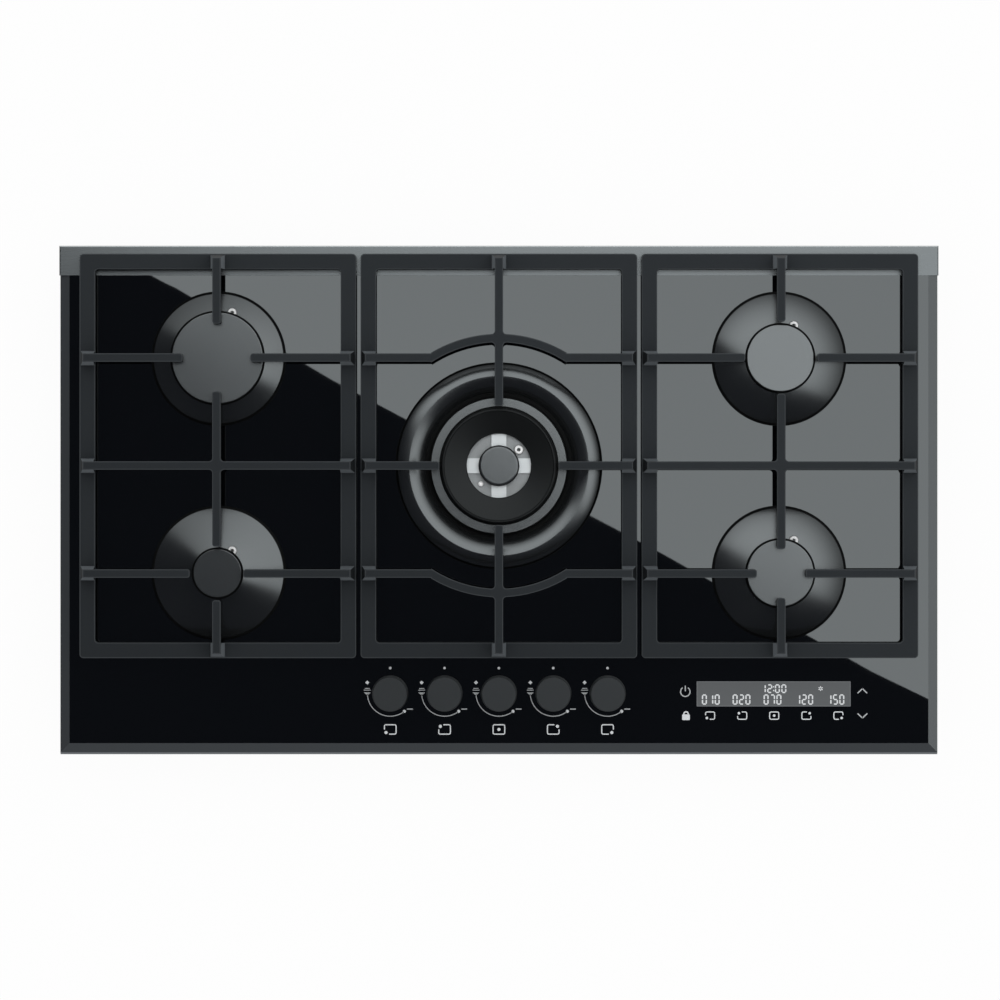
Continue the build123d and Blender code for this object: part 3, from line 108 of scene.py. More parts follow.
class Finish:
    """A material, or the world, and its nodes."""

    def __init__(self, name, world=False):
        self.data = (bpy.data.worlds if world else bpy.data.materials).new(name)
        self.data.use_nodes = True
        self.tree = self.data.node_tree
        self.tree.nodes.clear()

    def node(self, kind, settings=None, values=None, out=0):
        """Adds a node: its settings first, then what its sockets hold or are linked to."""
        node = self.tree.nodes.new(kind)
        for key, setting in (settings or {}).items():
            setattr(node, key, setting)
        for key, value in (values or {}).items():
            if isinstance(value, Value):
                self.tree.links.new(value.socket, node.inputs[key])
            else:
                node.inputs[key].default_value = value
        return Value(self, node.outputs[out]) if node.outputs else None

    def place(self):
        return self.node("ShaderNodeTexCoord", out="Object")

    def axes(self, vector):
        split = self.node("ShaderNodeSeparateXYZ", None, {"Vector": vector})
        node = split.socket.node
        return [Value(self, node.outputs[i]) for i in range(3)]

    def seen(self):
        """1 for what the camera sees, itself, mirrored or through something clear."""
        direct, mirrored, through = (self.node("ShaderNodeLightPath", out=i) for i in (0, 3, 6))
        return direct.math("MAXIMUM", mirrored).math("MAXIMUM", through)

    def facing(self):
        """X, Y and Z of the surface's normal, in the object's own frame."""
        return self.axes(self.node("ShaderNodeTexCoord", out="Normal"))

    def noise(self, scale, detail, stretch=(1, 1, 1)):
        """Grain from 0 to 1; stretch divides its frequency along each axis."""
        squeeze = [1 / s for s in stretch]
        at = self.node("ShaderNodeMapping", None, {"Vector": self.place(), "Scale": squeeze})
        return self.node("ShaderNodeTexNoise", None, {"Vector": at, "Scale": scale, "Detail": detail})

    def mix(self, factor, first, second):
        """Colour between first and second."""
        return self.node("ShaderNodeMix", {"data_type": "RGBA"}, {0: factor, 6: first, 7: second}, out=2)

    def evened(self, mask, sideways=(0.0, 0.0)):
        """The piece's own normal; where the mask is 1, that of a plane falling so much along X and Y."""
        own = self.node("ShaderNodeTexCoord", out="Normal")
        even = self.node("ShaderNodeCombineXYZ", None, {0: sideways[0], 1: sideways[1], 2: 1.0})
        even = self.node("ShaderNodeVectorMath", {"operation": "NORMALIZE"}, {0: even})
        mixed = self.node("ShaderNodeMix", {"data_type": "VECTOR"}, {0: mask, 4: own, 5: even}, out=1)
        turn = {"vector_type": "NORMAL", "convert_from": "OBJECT", "convert_to": "WORLD"}
        return self.node("ShaderNodeVectorTransform", turn, {"Vector": mixed})

    def bump(self, height, distance, strength, normal=None):
        values = {"Height": height, "Distance": distance, "Strength": strength}
        return self.node("ShaderNodeBump", None, {**values, "Normal": normal} if normal else values)

    def painted_shade(self, wave):
        """Matt black surface, used as painted shade."""
        return {"Base Color": self.mix(wave, grey(0.001), grey(0.003)), "Roughness": wave * 0.1 + 0.6,
                "Specular IOR Level": 0.05}

    def shader(self, values):
        return self.node("ShaderNodeBsdfPrincipled", None, values)

    def surface(self, values):
        self.node("ShaderNodeOutputMaterial", None, {"Surface": self.shader(values)})
        return self.data

    def two_surfaces(self, factor, first, second):
        both = {0: factor, 1: self.shader(first), 2: self.shader(second)}
        both = self.node("ShaderNodeMixShader", None, both)
        self.node("ShaderNodeOutputMaterial", None, {"Surface": both})
        return self.data


def grey(value, tint=(1.0, 1.0, 1.0)):
    return (value * tint[0], value * tint[1], value * tint[2], 1.0)


# tints of a grey: red, green and blue
COOL = (0.90, 1.0, 1.08)
CAST_TINT = (0.87, 1.0, 1.13)
TRIM_TINT = (0.985, 1.0, 1.01)
INK = (0.97, 1.0, 1.02)


# ------------------------------------------------------------------ finishes
def black_glass():
    """Polished black plate; its bevels are satin, with painted light and shade that differ by the side
    they face, and the ground edge below the front one is paler.
    """
    f = Finish("black_glass")
    across, along, up = f.facing()
    flat = up.above(0.985, 0.01)
    ground = (up.above(0.69, 0.02) - up.above(0.73, 0.02)) * (1 - flat)
    side = 1 - up.above(0.5, 0.1)
    smear = f.noise(14, 4)
    # painted light and shade: the bevels' tone goes by the side they face, darkest to the right, paler to
    # the left, palest to the front
    bevel = f.mix(across.above(0.1, 0.02), grey(0.037, COOL), grey(0.014, COOL))
    bevel = f.mix(1 - along.above(-0.1, 0.02), bevel, grey(0.05, COOL))
    tone = f.mix(flat, bevel, grey(0.001, (0.85, 1.0, 1.35)))
    tone = f.mix(ground, tone, grey(0.13, COOL))
    tone = f.mix(side, tone, grey(0.02, COOL))
    roughness = flat * (smear * 0.012 + 0.006) + (1 - flat) * 0.22 + ground * 0.3
    return f.surface({"Base Color": tone, "Roughness": roughness, "IOR": 1.5})


def satin_trim():
    """Anthracite satin strip, brushed along its length, with a painted highlight on its rear arris."""
    f = Finish("satin_trim")
    _, along, up = f.facing()
    brushed = f.noise(900, 4, (60, 1, 1))
    cloud = f.noise(6, 2)
    tone = f.mix(brushed * 0.5 + cloud * 0.5, grey(0.061, TRIM_TINT), grey(0.074, TRIM_TINT))
    # painted highlight: the rear arris's faces get a pale colour
    tone = f.mix(along.above(0.25, 0.1) * up.above(0.3, 0.1), tone, grey(0.44))
    normal = f.bump(brushed, 0.02 * MM, 0.25)
    return f.surface({"Base Color": tone, "Roughness": brushed * 0.08 + 0.24, "Metallic": 1.0,
                      "Normal": normal})


def cast_enamel():
    """Matt enamel on cast iron with a fine skin; painted light makes it paler on edges and on the sides of
    the fingers' pads.

    The pads' ends are left dark as painted shade, except those of the front frames.
    """
    f = Finish("cast_enamel")
    across, along, up = f.facing()
    _, y, z = f.axes(f.place())
    on_side_frame = 1 - (y - MID_Y).math("ABSOLUTE").above(ROW_Y + 40 * MM, 1 * MM)
    end = across.math("ABSOLUTE") * on_side_frame + along * (1 - on_side_frame)
    # painted light and shade on the pads: their sides are pale, their ends stay dark
    pad_painted_light = f.mix(end.above(0.6, 0.2), grey(0.15, COOL), grey(0.022, COOL))
    pad = z.above(FRAME_TOP + 2 * MM, 2 * MM) * (1 - z.above(FINGER_TOP - 2 * MM, 1 * MM))
    sloped_painted_light = up.above(0.12, 0.08) * (1 - up.above(0.9, 0.07))
    skin = f.noise(1400, 3)
    wave = f.noise(160, 2)
    cloud = f.noise(7, 2)
    tone = f.mix(cloud, grey(0.019, CAST_TINT), grey(0.023, CAST_TINT))
    # painted light: edges and other sloped faces get a paler tone, the pads' sides paler still
    tone = f.mix(sloped_painted_light, tone, f.mix(pad, grey(0.055, COOL), pad_painted_light))
    normal = f.bump(skin * 0.7 + wave * 0.3, 0.12 * MM, 0.35)
    return f.surface({"Base Color": tone, "Roughness": skin * 0.1 + 0.5, "Specular IOR Level": 0.05,
                      "Normal": normal})


def cap_enamel(name, base, roughness, level, edge=0.98):
    """Satin enamel of the burner caps; where they turn down past the edge they are painted matt black as
    shade.
    """
    f = Finish(name)
    _, _, up = f.facing()
    skin = f.noise(1800, 3)
    cloud = f.noise(16, 3)
    tone = f.mix(cloud, grey(base * 0.9, COOL), grey(base * 1.1, COOL))
    normal = f.bump(skin, 0.04 * MM, 0.3, f.evened(up.above(0.996, 0.002)))
    top = {"Base Color": tone, "Roughness": cloud * 0.05 + roughness, "Specular IOR Level": level,
           "Normal": normal}
    # painted shade: the caps' down-turned edges are matt black
    return f.two_surfaces(up.above(edge, 0.01), f.painted_shade(cloud), top)


def gloss_enamel(name, seat_r, rim_r, fall):
    """Black enamel of the skirts and the dish: soft reflections, painted matt black as shade inside the
    seat and on the rim.

    fall gives how steeply the surface falls outwards at a distance from the burner's centre. A seat
    radius of 0 stands for a side burner, whose centre is the nearest one of four.
    """
    f = Finish(name)
    x, y, _ = f.axes(f.place())
    _, _, up = f.facing()
    y = y - MID_Y
    if seat_r == 0:
        x = x - (x.above(0, MM) * 2 - 1) * PITCH_X
        y = y - (y.above(0, MM) * 2 - 1) * ROW_Y
    reach = (x * x + y * y).math("SQRT")
    # painted shade: inside the seat and on the rim the enamel gives way to matt black
    gloss = reach.above(seat_r - 1 * MM, 1.2 * MM) * (1 - reach.above(rim_r, 0.4 * MM))
    slope = fall(reach) / reach
    wave = f.noise(40, 3)
    tone = f.mix(wave, grey(0.006, COOL), grey(0.009, COOL))
    normal = f.evened(up.above(0.2, 0.1), (x * slope, y * slope))
    shine = {"Base Color": tone, "Roughness": wave * 0.05 + 0.2, "Specular IOR Level": 0.66,
             "Normal": normal}
    return f.two_surfaces(gloss, f.painted_shade(wave), shine)


def skirt_enamel(name, inner_r, inner_fall, outer_fall):
    """A skirt's cone, a little steeper towards its rim."""
    growth = (outer_fall - inner_fall) / (SKIRT_R - inner_r)
    return gloss_enamel(name, 0, SKIRT_R - SKIRT_RIM,
                        lambda reach: (reach - inner_r) * growth + inner_fall)


def dish_fall(reach):
    """The dish's ridge falls both ways from its crest, ever steeper."""
    outside = reach.above(DISH_CREST_R, 0.2 * MM)
    return (reach - DISH_CREST_R) * 45 + outside * 0.18 - 0.09


def burner_alloy():
    """Dull cast alloy of the crowns, machined on its faces."""
    f = Finish("burner_alloy")
    grain = f.noise(900, 3)
    cloud = f.noise(60, 3)
    tone = f.mix(cloud, grey(0.16), grey(0.22))
    normal = f.bump(grain, 0.05 * MM, 0.3)
    return f.surface({"Base Color": tone, "Roughness": grain * 0.12 + 0.36, "Metallic": 0.85,
                      "Normal": normal})


def wok_crown_enamel():
    """Enamel outside, a groove round the cap painted near black as shade, and bare alloy inside with four
    bright bridges.
    """
    f = Finish("wok_crown_enamel")
    x, y, z = f.axes(f.place())
    y = y - MID_Y
    reach = (x * x + y * y).math("SQRT")
    bare = 1 - reach.above(WOK_BARE_R, 1 * MM)
    bridge = z.above(WOK_BRIDGE_TOP, 0.4 * MM)
    grain = f.noise(900, 3)
    cloud = f.noise(60, 3)
    normal = f.bump(grain, 0.04 * MM, 0.3)
    well = f.mix(grain * 0.4 + cloud * 0.6, grey(0.15), grey(0.25))
    alloy = f.mix(bridge, well, grey(0.44))
    enamel = f.mix(cloud, grey(0.013, COOL), grey(0.015, COOL))
    rim = {"Base Color": enamel, "Roughness": cloud * 0.05 + 0.23, "Specular IOR Level": 0.7,
           "Normal": normal}
    # painted shade: between the bare alloy and the enamel the groove is near black
    inner = {"Base Color": f.mix(bare, grey(0.001), alloy), "Roughness": cloud * 0.05 + 0.45,
             "Metallic": bare * 0.5, "Specular IOR Level": 0.1, "Normal": normal}
    return f.two_surfaces(reach.above(WOK_GROOVE_R, 0.3 * MM), inner, rim)


def moulded(name, base, roughness, grain_size=1500.0, tint=COOL, level=0.4, depth=0.04 * MM):
    """Moulded plastic or rubber with a fine grain, whose bumps are so deep."""
    f = Finish(name)
    grain = f.noise(grain_size, 3)
    cloud = f.noise(25, 2)
    tone = f.mix(cloud, grey(base * 0.94, tint), grey(base * 1.06, tint))
    normal = f.bump(grain, depth, 0.3)
    return f.surface({"Base Color": tone, "Roughness": grain * 0.08 + roughness,
                      "Specular IOR Level": level, "Normal": normal})


def sheet_metal(name, dark, light, roughness, spangle, tint=(1, 1, 1)):
    """Sheet or machined metal with a soft crystal pattern."""
    f = Finish(name)
    crystals = f.node("ShaderNodeTexVoronoi", None, {"Vector": f.place(), "Scale": spangle}, out=1)
    patch = f.axes(crystals)[0]
    fine = f.noise(500, 3)
    tone = f.mix(patch * 0.7 + fine * 0.3, grey(dark, tint), grey(light, tint))
    return f.surface({"Base Color": tone, "Roughness": patch * 0.12 + roughness, "Metallic": 0.9})


def igniter_ceramic():
    """White glazed ceramic round a steel electrode, whose end stands a little lower; upward faces below
    the top, the electrode's end among them, are painted near black as shade in the bore.
    """
    f = Finish("igniter_ceramic")
    _, _, z = f.axes(f.place())
    _, _, up = f.facing()
    electrode = (1 - z.above(IGNITER_TOP - 0.9 * MM, 0.1 * MM)) * up.above(0.8, 0.05)
    cloud = f.noise(300, 2)
    # painted shade in the bore: the sunken upward faces are near black
    tone = f.mix(electrode, f.mix(cloud, grey(0.88), grey(0.95)), grey(0.02))
    return f.surface({"Base Color": tone, "Roughness": cloud * 0.1 + 0.3})


def probe_steel():
    """Bright steel of the flame sensors; the wok burner's has its tip painted white as a highlight."""
    f = Finish("probe_steel")
    x, y, z = f.axes(f.place())
    y = y - MID_Y
    in_wok_burner = 1 - (x * x + y * y).math("SQRT").above(50 * MM, 1 * MM)
    tip = in_wok_burner * z.above(GLASS_TOP + 8 * MM, 0.5 * MM)
    cloud = f.noise(300, 2)
    # painted highlight: the wok sensor's tip is white, not metal
    tone = f.mix(tip, f.mix(cloud, grey(0.42), grey(0.5)), grey(0.95))
    return f.surface({"Base Color": tone, "Roughness": cloud * 0.1 + 0.3, "Metallic": 1 - tip})


def printed_ink(name, dark, light):
    """Pale screen print on the glass."""
    f = Finish(name)
    cover = f.noise(2500, 2)
    tone = f.mix(cover, grey(dark, INK), grey(light, INK))
    return f.surface({"Base Color": tone, "Roughness": cover * 0.1 + 0.3})


CELL_ROWS = 9000.0           # radians to the metre: a row every 0.7 mm


def display_rows(name, dark, light, tint):
    """Display behind the glass, with fine rows of cells."""
    f = Finish(name)
    _, y, _ = f.axes(f.place())
    rows = (y * CELL_ROWS).math("SINE") * 0.5 + 0.5
    tone = f.mix(rows, grey(dark, tint), grey(light, tint))
    return f.surface({"Base Color": tone, "Roughness": rows * 0.02 + 0.05, "Specular IOR Level": 0.1})


GLASS = black_glass()
TRIM = satin_trim()
CAST = cast_enamel()
CAP = cap_enamel("cap_enamel", 0.013, roughness=0.22, level=0.72)
INNER_CAP = cap_enamel("inner_cap_enamel", 0.014, roughness=0.2, level=0.72, edge=0.6)
RING_CAP = cap_enamel("ring_cap_enamel", 0.001, roughness=0.35, level=0.125, edge=0.0)
WOK_CROWN = wok_crown_enamel()
RAPID_SKIRT = skirt_enamel("rapid_skirt_enamel", RAPID_CAP_R, 0.40, 0.44)
SEMI_RAPID_SKIRT = skirt_enamel("semi_rapid_skirt_enamel", SEMI_RAPID_CAP_R, 0.19, 0.5)
AUXILIARY_SKIRT = skirt_enamel("auxiliary_skirt_enamel", AUXILIARY_CAP_R, 0.40, 0.42)
DISH_ENAMEL = gloss_enamel("dish_enamel", DISH_SEAT_R, DISH_R - DISH_RIM, dish_fall)
ALLOY = burner_alloy()
KNOB = moulded("knob_plastic", 0.021, roughness=0.45, level=0.19)
RUBBER = moulded("black_rubber", 0.012, roughness=0.6, grain_size=900.0)
GASKET = moulded("gasket_rubber", 0.002, roughness=0.6, grain_size=900.0, level=0.05)
FOAM = moulded("seal_foam", 0.03, roughness=0.8, grain_size=700.0, depth=0.2 * MM)
CASE = moulded("case_plastic", 0.035, roughness=0.45)
PALE_CASE = moulded("pale_plastic", 0.72, roughness=0.4, tint=(1.0, 0.99, 0.96))
BOARD = moulded("circuit_board", 0.09, roughness=0.4, grain_size=400.0, tint=(0.35, 1.0, 0.5))
BOX_STEEL = sheet_metal("galvanised_sheet", 0.30, 0.40, roughness=0.36, spangle=70.0)
TUBE_STEEL = sheet_metal("bright_steel", 0.42, 0.5, roughness=0.25, spangle=180.0)
DIE_CAST = sheet_metal("die_cast_alloy", 0.38, 0.46, roughness=0.42, spangle=120.0)
BRASS = sheet_metal("machined_brass", 0.42, 0.5, roughness=0.26, spangle=200.0, tint=(1.25, 0.98, 0.5))
CERAMIC = igniter_ceramic()
PROBE = probe_steel()
PRINT = printed_ink("printed_ink", 0.36, 0.44)
BRIGHT_PRINT = printed_ink("bright_ink", 0.60, 0.70)
DISPLAY = display_rows("display_panel", 0.12, 0.132, (0.95, 1.0, 1.04))
DISPLAY_RIM = display_rows("display_rim", 0.18, 0.2, (0.95, 1.0, 1.04))
DIGIT = display_rows("display_digit", 0.72, 0.8, INK)

BY_SLOT = {
    "black_glass": GLASS, "trim_steel": TRIM, "enamel": CAST, "cap_enamel": CAP, "burner_alloy": ALLOY,
    "dish_enamel": DISH_ENAMEL, "knob_plastic": KNOB, "box_steel": BOX_STEEL, "steel_small": TUBE_STEEL,
    "brass": BRASS, "tap_alloy": DIE_CAST, "ceramic": CERAMIC, "rubber": RUBBER, "foam": FOAM,
    "housing_plastic": CASE, "white_plastic": PALE_CASE, "board": BOARD,
}
OWN_FINISH = {
    "wok_inner_cap": INNER_CAP, "wok_ring_cap": RING_CAP, "wok_crown": WOK_CROWN,
    "skirt_rear_left": RAPID_SKIRT, "skirt_rear_right": SEMI_RAPID_SKIRT,
    "skirt_front_left": AUXILIARY_SKIRT, "skirt_front_right": SEMI_RAPID_SKIRT,
    "burner_gaskets": GASKET, "thermocouples": PROBE, "display_module": CASE,
}
slot_of = {part["node"]: part["material_slot"] for part in frame["record"]["subparts"]}
for node, piece in frame["nodes"].items():
    piece.data.materials.clear()
    piece.data.materials.append(OWN_FINISH.get(node) or BY_SLOT[slot_of[node]])


# ------------------------------------------------------------------ modelling helpers
def clear_selection():
    if bpy.context.object and bpy.context.object.mode != "OBJECT":
        bpy.ops.object.mode_set(mode="OBJECT")
    bpy.ops.object.select_all(action="DESELECT")


def choose(piece, test, kind="FACE"):
    """In edit mode, selects the faces (by centre and normal) or vertices (by place) that pass the test."""
    bpy.ops.mesh.select_mode(type=kind)
    bpy.ops.mesh.select_all(action="DESELECT")
    bpy.ops.object.mode_set(mode="OBJECT")
    mesh = piece.data
    if kind == "VERT":
        for v in mesh.vertices:
            v.select = bool(test(v.co))
    else:
        for p in mesh.polygons:
            p.select = bool(test(p.center, p.normal))
    bpy.ops.object.mode_set(mode="EDIT")


def select_only(pieces):
    """Selects the pieces, the first of them active."""
    clear_selection()
    for piece in pieces:
        piece.select_set(True)
    bpy.context.view_layer.objects.active = pieces[0]


def settle(piece):
    """Puts the piece's place, turn and scale into its mesh."""
    select_only([piece])
    bpy.ops.object.transform_apply(location=True, rotation=True, scale=True)


def new_plane(x, y, z, wide, deep, turn=0.0):
    clear_selection()
    bpy.ops.mesh.primitive_plane_add(size=1, location=(x, y, z), rotation=(0, 0, turn))
    piece = bpy.context.object
    piece.scale = (wide, deep, 1)
    settle(piece)
    return piece


def printed(pieces, name, finish):
    """Makes one named print of several marks, all facing up, on the glass."""
    select_only(pieces)
    if len(pieces) > 1:
        bpy.ops.object.join()
    whole = bpy.context.object
    whole.name = whole.data.name = name
    whole.data.materials.clear()
    whole.data.materials.append(finish)
    bpy.ops.object.mode_set(mode="EDIT")
    choose(whole, lambda centre, normal: normal.z < 0)
    bpy.ops.mesh.flip_normals()
    bpy.ops.object.mode_set(mode="OBJECT")
    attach(whole, "hob")


def copied(marks, shift):
    """Copies of the marks with their own meshes, moved along X."""
    select_only(marks)
    bpy.ops.object.duplicate()
    copies = list(bpy.context.selected_objects)
    for piece in copies:
        piece.location.x = shift
        settle(piece)
    return copies


# ------------------------------------------------------------------ printed marks
def round_corners(offset, segments):
    """Rounds the corners of the flat piece that was made last."""
    bpy.ops.object.mode_set(mode="EDIT")
    bpy.ops.mesh.select_all(action="SELECT")
    bpy.ops.mesh.bevel(offset=offset, segments=segments, affect="VERTICES")
    bpy.ops.object.mode_set(mode="OBJECT")


def print_disc(x, y, radius, z=PRINT_Z):
    clear_selection()
    bpy.ops.mesh.primitive_circle_add(vertices=20, radius=radius, fill_type="NGON", location=(x, y, z))
    piece = bpy.context.object
    settle(piece)
    return piece


def print_bar(x0, y0, x1, y1, width, z=PRINT_Z):
    """Bar with cut corners from one point to another."""
    length = hypot(x1 - x0, y1 - y0)
    piece = new_plane((x0 + x1) / 2, (y0 + y1) / 2, z, length, width, atan2(y1 - y0, x1 - x0))
    round_corners(width * 0.3, 2)
    return piece


def print_field(x, y, wide, deep, corner, z=PRINT_Z):
    """Filled rectangle with rounded corners."""
    piece = new_plane(x, y, z, wide, deep)
    round_corners(corner, 3)
    return piece


def print_arc(x, y, radius, start, end, width, steps=28):
    """Arc in degrees, spun leftwards from one short edge."""
    a = radians(start)
    out = Vector((cos(a), sin(a), 0))
    middle = Vector((x, y, PRINT_Z)) + out * radius
    piece = new_plane(middle.x, middle.y, PRINT_Z, width, width, a)
    ahead = Vector((-sin(a), cos(a), 0))
    bpy.ops.object.mode_set(mode="EDIT")
    choose(piece, lambda co: (co - middle).dot(ahead) > 0, "VERT")
    bpy.ops.mesh.delete(type="VERT")
    bpy.ops.mesh.select_all(action="SELECT")
    bpy.ops.transform.translate(value=ahead * width / 2)
    bpy.ops.mesh.spin(steps=steps, angle=radians(start - end), center=(x, y, PRINT_Z), axis=(0, 0, 1))
    bpy.ops.object.mode_set(mode="OBJECT")
    return piece


def print_wedge(x, y, wide, high):
    """Triangle that points to the front."""
    clear_selection()
    bpy.ops.mesh.primitive_circle_add(vertices=3, radius=1.0, fill_type="NGON", location=(x, y, PRINT_Z))
    piece = bpy.context.object
    piece.rotation_euler = (0, 0, pi)
    piece.scale = (wide / sqrt(3), high / 1.5, 1)
    settle(piece)
    return piece


SIGN_CORNER_R = 1.6 * MM


def print_place(x, y, wide, deep, corner, width, inward, dot):
    """Sign of a burner's place: a square with a dot in an open corner of it, or in its middle."""
    half_w, half_d = wide / 2, deep / 2
    gap, r = inward + dot * 0.9, SIGN_CORNER_R
    marks = []
    for sx, sy, start in ((1, 1, 0), (-1, 1, 90), (-1, -1, 180), (1, -1, 270)):
        if (sx, sy) != corner:
            corner_x, corner_y = x + sx * (half_w - r), y + sy * (half_d - r)
            marks.append(print_arc(corner_x, corner_y, r, start, start + 90, width, steps=5))
    for sy in (-1, 1):
        low = -half_w + (gap + r if corner == (-1, sy) else r)
        high = half_w - (gap + r if corner == (1, sy) else r)
        marks.append(print_bar(x + low, y + sy * half_d, x + high, y + sy * half_d, width))
    for sx in (-1, 1):
        low = -half_d + (gap + r if corner == (sx, -1) else r)
        high = half_d - (gap + r if corner == (sx, 1) else r)
        marks.append(print_bar(x + sx * half_w, y + low, x + sx * half_w, y + high, width))
    marks.append(print_disc(x + corner[0] * (half_w - inward), y + corner[1] * (half_d - inward), dot))
    return marks


PLACES = [(-1, -1), (-1, 1), (0, 0), (1, 1), (1, -1)]    # the burners that the knobs and keys belong to
FIRST_KNOB_X = -2 * KNOB_PITCH

# sizes and heights of a knob's marks, from the knob's middle
SCALE_R, SCALE_LINE = 23.2 * MM, 0.9 * MM
SCALE_ENDS = 182, 306                # full and low flame, in degrees leftwards from the right
LOW_DOT_ANGLE, LOW_DOT_R = radians(-52), 1.6 * MM
LOW_BAR, LOW_BAR_UP, LOW_BAR_LINE = (2.6 * MM, 8.6 * MM), 2.3 * MM, 1.1 * MM
WEDGE_UP, WEDGE_WIDE, WEDGE_HIGH = -0.2 * MM, 7.0 * MM, 3.2 * MM
FLAME_BARS = (3.6 * MM, 3.2 * MM), (2.6 * MM, 4.9 * MM)      # half their width, and their height
FLAME_BAR_LINE = 0.8 * MM
OFF_DOT_UP, OFF_DOT_R = 25.5 * MM, 1.35 * MM
SPARK_UP, SPARK_SIDE = 10.9 * MM, 2.9 * MM
KNOB_SIGN_UP, KNOB_SIGN_WIDE, KNOB_SIGN_DEEP = -36.6 * MM, 11.8 * MM, 9.5 * MM


def low_dot(x, y):
    """Place of the low flame's dot on the scale of a knob at x, y."""
    return x + SCALE_R * cos(LOW_DOT_ANGLE), y + SCALE_R * sin(LOW_DOT_ANGLE)


def knob_scale(x, y):
    """Arc from the full flame's wedge and two bars to the low flame's bar."""
    full_x = x - SCALE_R
    marks = [print_arc(x, y, SCALE_R, *SCALE_ENDS, SCALE_LINE),
             print_wedge(full_x, y + WEDGE_UP, WEDGE_WIDE, WEDGE_HIGH)]
    for half, up in FLAME_BARS:
        marks.append(print_bar(full_x - half, y + up, full_x + half, y + up, FLAME_BAR_LINE))
    low_x, low_y = low_dot(x, y)
    near, far = (low_x + reach for reach in LOW_BAR)
    marks.append(print_bar(near, low_y + LOW_BAR_UP, far, low_y + LOW_BAR_UP, LOW_BAR_LINE))
    return marks


def knob_signs(x, y):
    """Dots for off and the low flame, and a square on its corner for the spark."""
    return [print_disc(x, y + OFF_DOT_UP, OFF_DOT_R),
            print_disc(*low_dot(x, y), LOW_DOT_R),
            new_plane(x - SCALE_R, y + SPARK_UP, PRINT_Z, SPARK_SIDE, SPARK_SIDE, pi / 4)]


marks_of = [(knob_scale(FIRST_KNOB_X, KNOB_Y), knob_signs(FIRST_KNOB_X, KNOB_Y))]
for i in range(1, len(PLACES)):
    marks_of.append([copied(marks, i * KNOB_PITCH) for marks in marks_of[0]])
for i, (corner, (scale, signs)) in enumerate(zip(PLACES, marks_of)):
    place = print_place(FIRST_KNOB_X + i * KNOB_PITCH, KNOB_Y + KNOB_SIGN_UP,
                        KNOB_SIGN_WIDE, KNOB_SIGN_DEEP, corner,
                        width=1.1 * MM, inward=1.6 * MM, dot=1.6 * MM)
    printed(scale, f"knob_scale_{i + 1}", PRINT)
    printed(signs + place, f"knob_signs_{i + 1}", BRIGHT_PRINT)


# ------------------------------------------------------------------ touch field
def on_glass(px, py):
    """A photograph's pixel on the glass, in the part's frame."""
    return CENTRE_X + (px - PIXELS / 2) * SCALE, CENTRE_Y - (py - PIXELS / 2) * SCALE


# where the photograph shows the touch field, in pixels
KEY_COLUMNS, KEY_ROW = (710.1, 742.2, 774.2, 806.4, 838.4), 715.6
POWER_KEY, LOCK_KEY = (685.3, 691.7), (686.0, 717.2)
ARROW_COLUMN, UP_ROW, DOWN_ROW = 862.4, 690.8, 715.9
DISPLAY_REAR_LEFT, DISPLAY_FRONT_RIGHT = (696.7, 681.4), (850.6, 706.4)
CLOCK_LAST, CLOCK_ROWS = 783.8, (684.2, 693.1)       # the last digit's middle; the digits' top and bottom
TIMERS = [("010", 717.2), ("020", 747.9), ("070", 778.9), ("120", 810.6), ("150", 841.8)]
TIMER_ROWS = 694.3, 704.7
DISPLAY_STAR = 820.6, 688.6

keys = []
for px, corner in zip(KEY_COLUMNS, PLACES):
    keys += print_place(*on_glass(px, KEY_ROW), 9.2 * MM, 7.4 * MM, corner,
                        width=1.0 * MM, inward=1.3 * MM, dot=1.3 * MM)
printed(keys, "touch_keys", BRIGHT_PRINT)

power_x, power_y = on_glass(*POWER_KEY)
ring = print_arc(power_x, power_y, 4.8 * MM, -236, 56, 1.1 * MM)
bar = print_bar(power_x, power_y + 0.4 * MM, power_x, power_y + 6.2 * MM, 1.1 * MM)
printed([ring, bar], "power_key", PRINT)

lock_x, lock_y = on_glass(*LOCK_KEY)
body = print_field(lock_x, lock_y, 7.8 * MM, 5.8 * MM, 0.9 * MM)
shackle = print_arc(lock_x, lock_y + 3.3 * MM, 2.2 * MM, -8, 188, 1.3 * MM)
printed([body, shackle], "lock_key", BRIGHT_PRINT)

for name, row, rise in (("up_key", UP_ROW, 2.5 * MM), ("down_key", DOWN_ROW, -2.5 * MM)):
    x, y = on_glass(ARROW_COLUMN, row)
    arms = [print_bar(x - side * 4.9 * MM, y - rise, x + side * 0.3 * MM, y + rise, 1.15 * MM)
            for side in (1, -1)]
    printed(arms, name, PRINT)

left, rear = on_glass(*DISPLAY_REAR_LEFT)
right, front = on_glass(*DISPLAY_FRONT_RIGHT)
wide, deep = right - left, rear - front
middle = (left + right) / 2, (rear + front) / 2
DISPLAY_FRAME = 1.4 * MM
rim = print_field(*middle, wide, deep, 0.5 * MM)
printed([rim], "display_rim", DISPLAY_RIM)
field = print_field(*middle, wide - DISPLAY_FRAME, deep - DISPLAY_FRAME, 0.3 * MM, FIELD_Z)
printed([field], "display_field", DISPLAY)

SEGMENTS = {"0": "abcdef", "1": "bc", "2": "abged", "5": "afgcd", "7": "abc"}
STROKE = 1.35 * MM
DIGIT_PITCH = 6.4 * SCALE


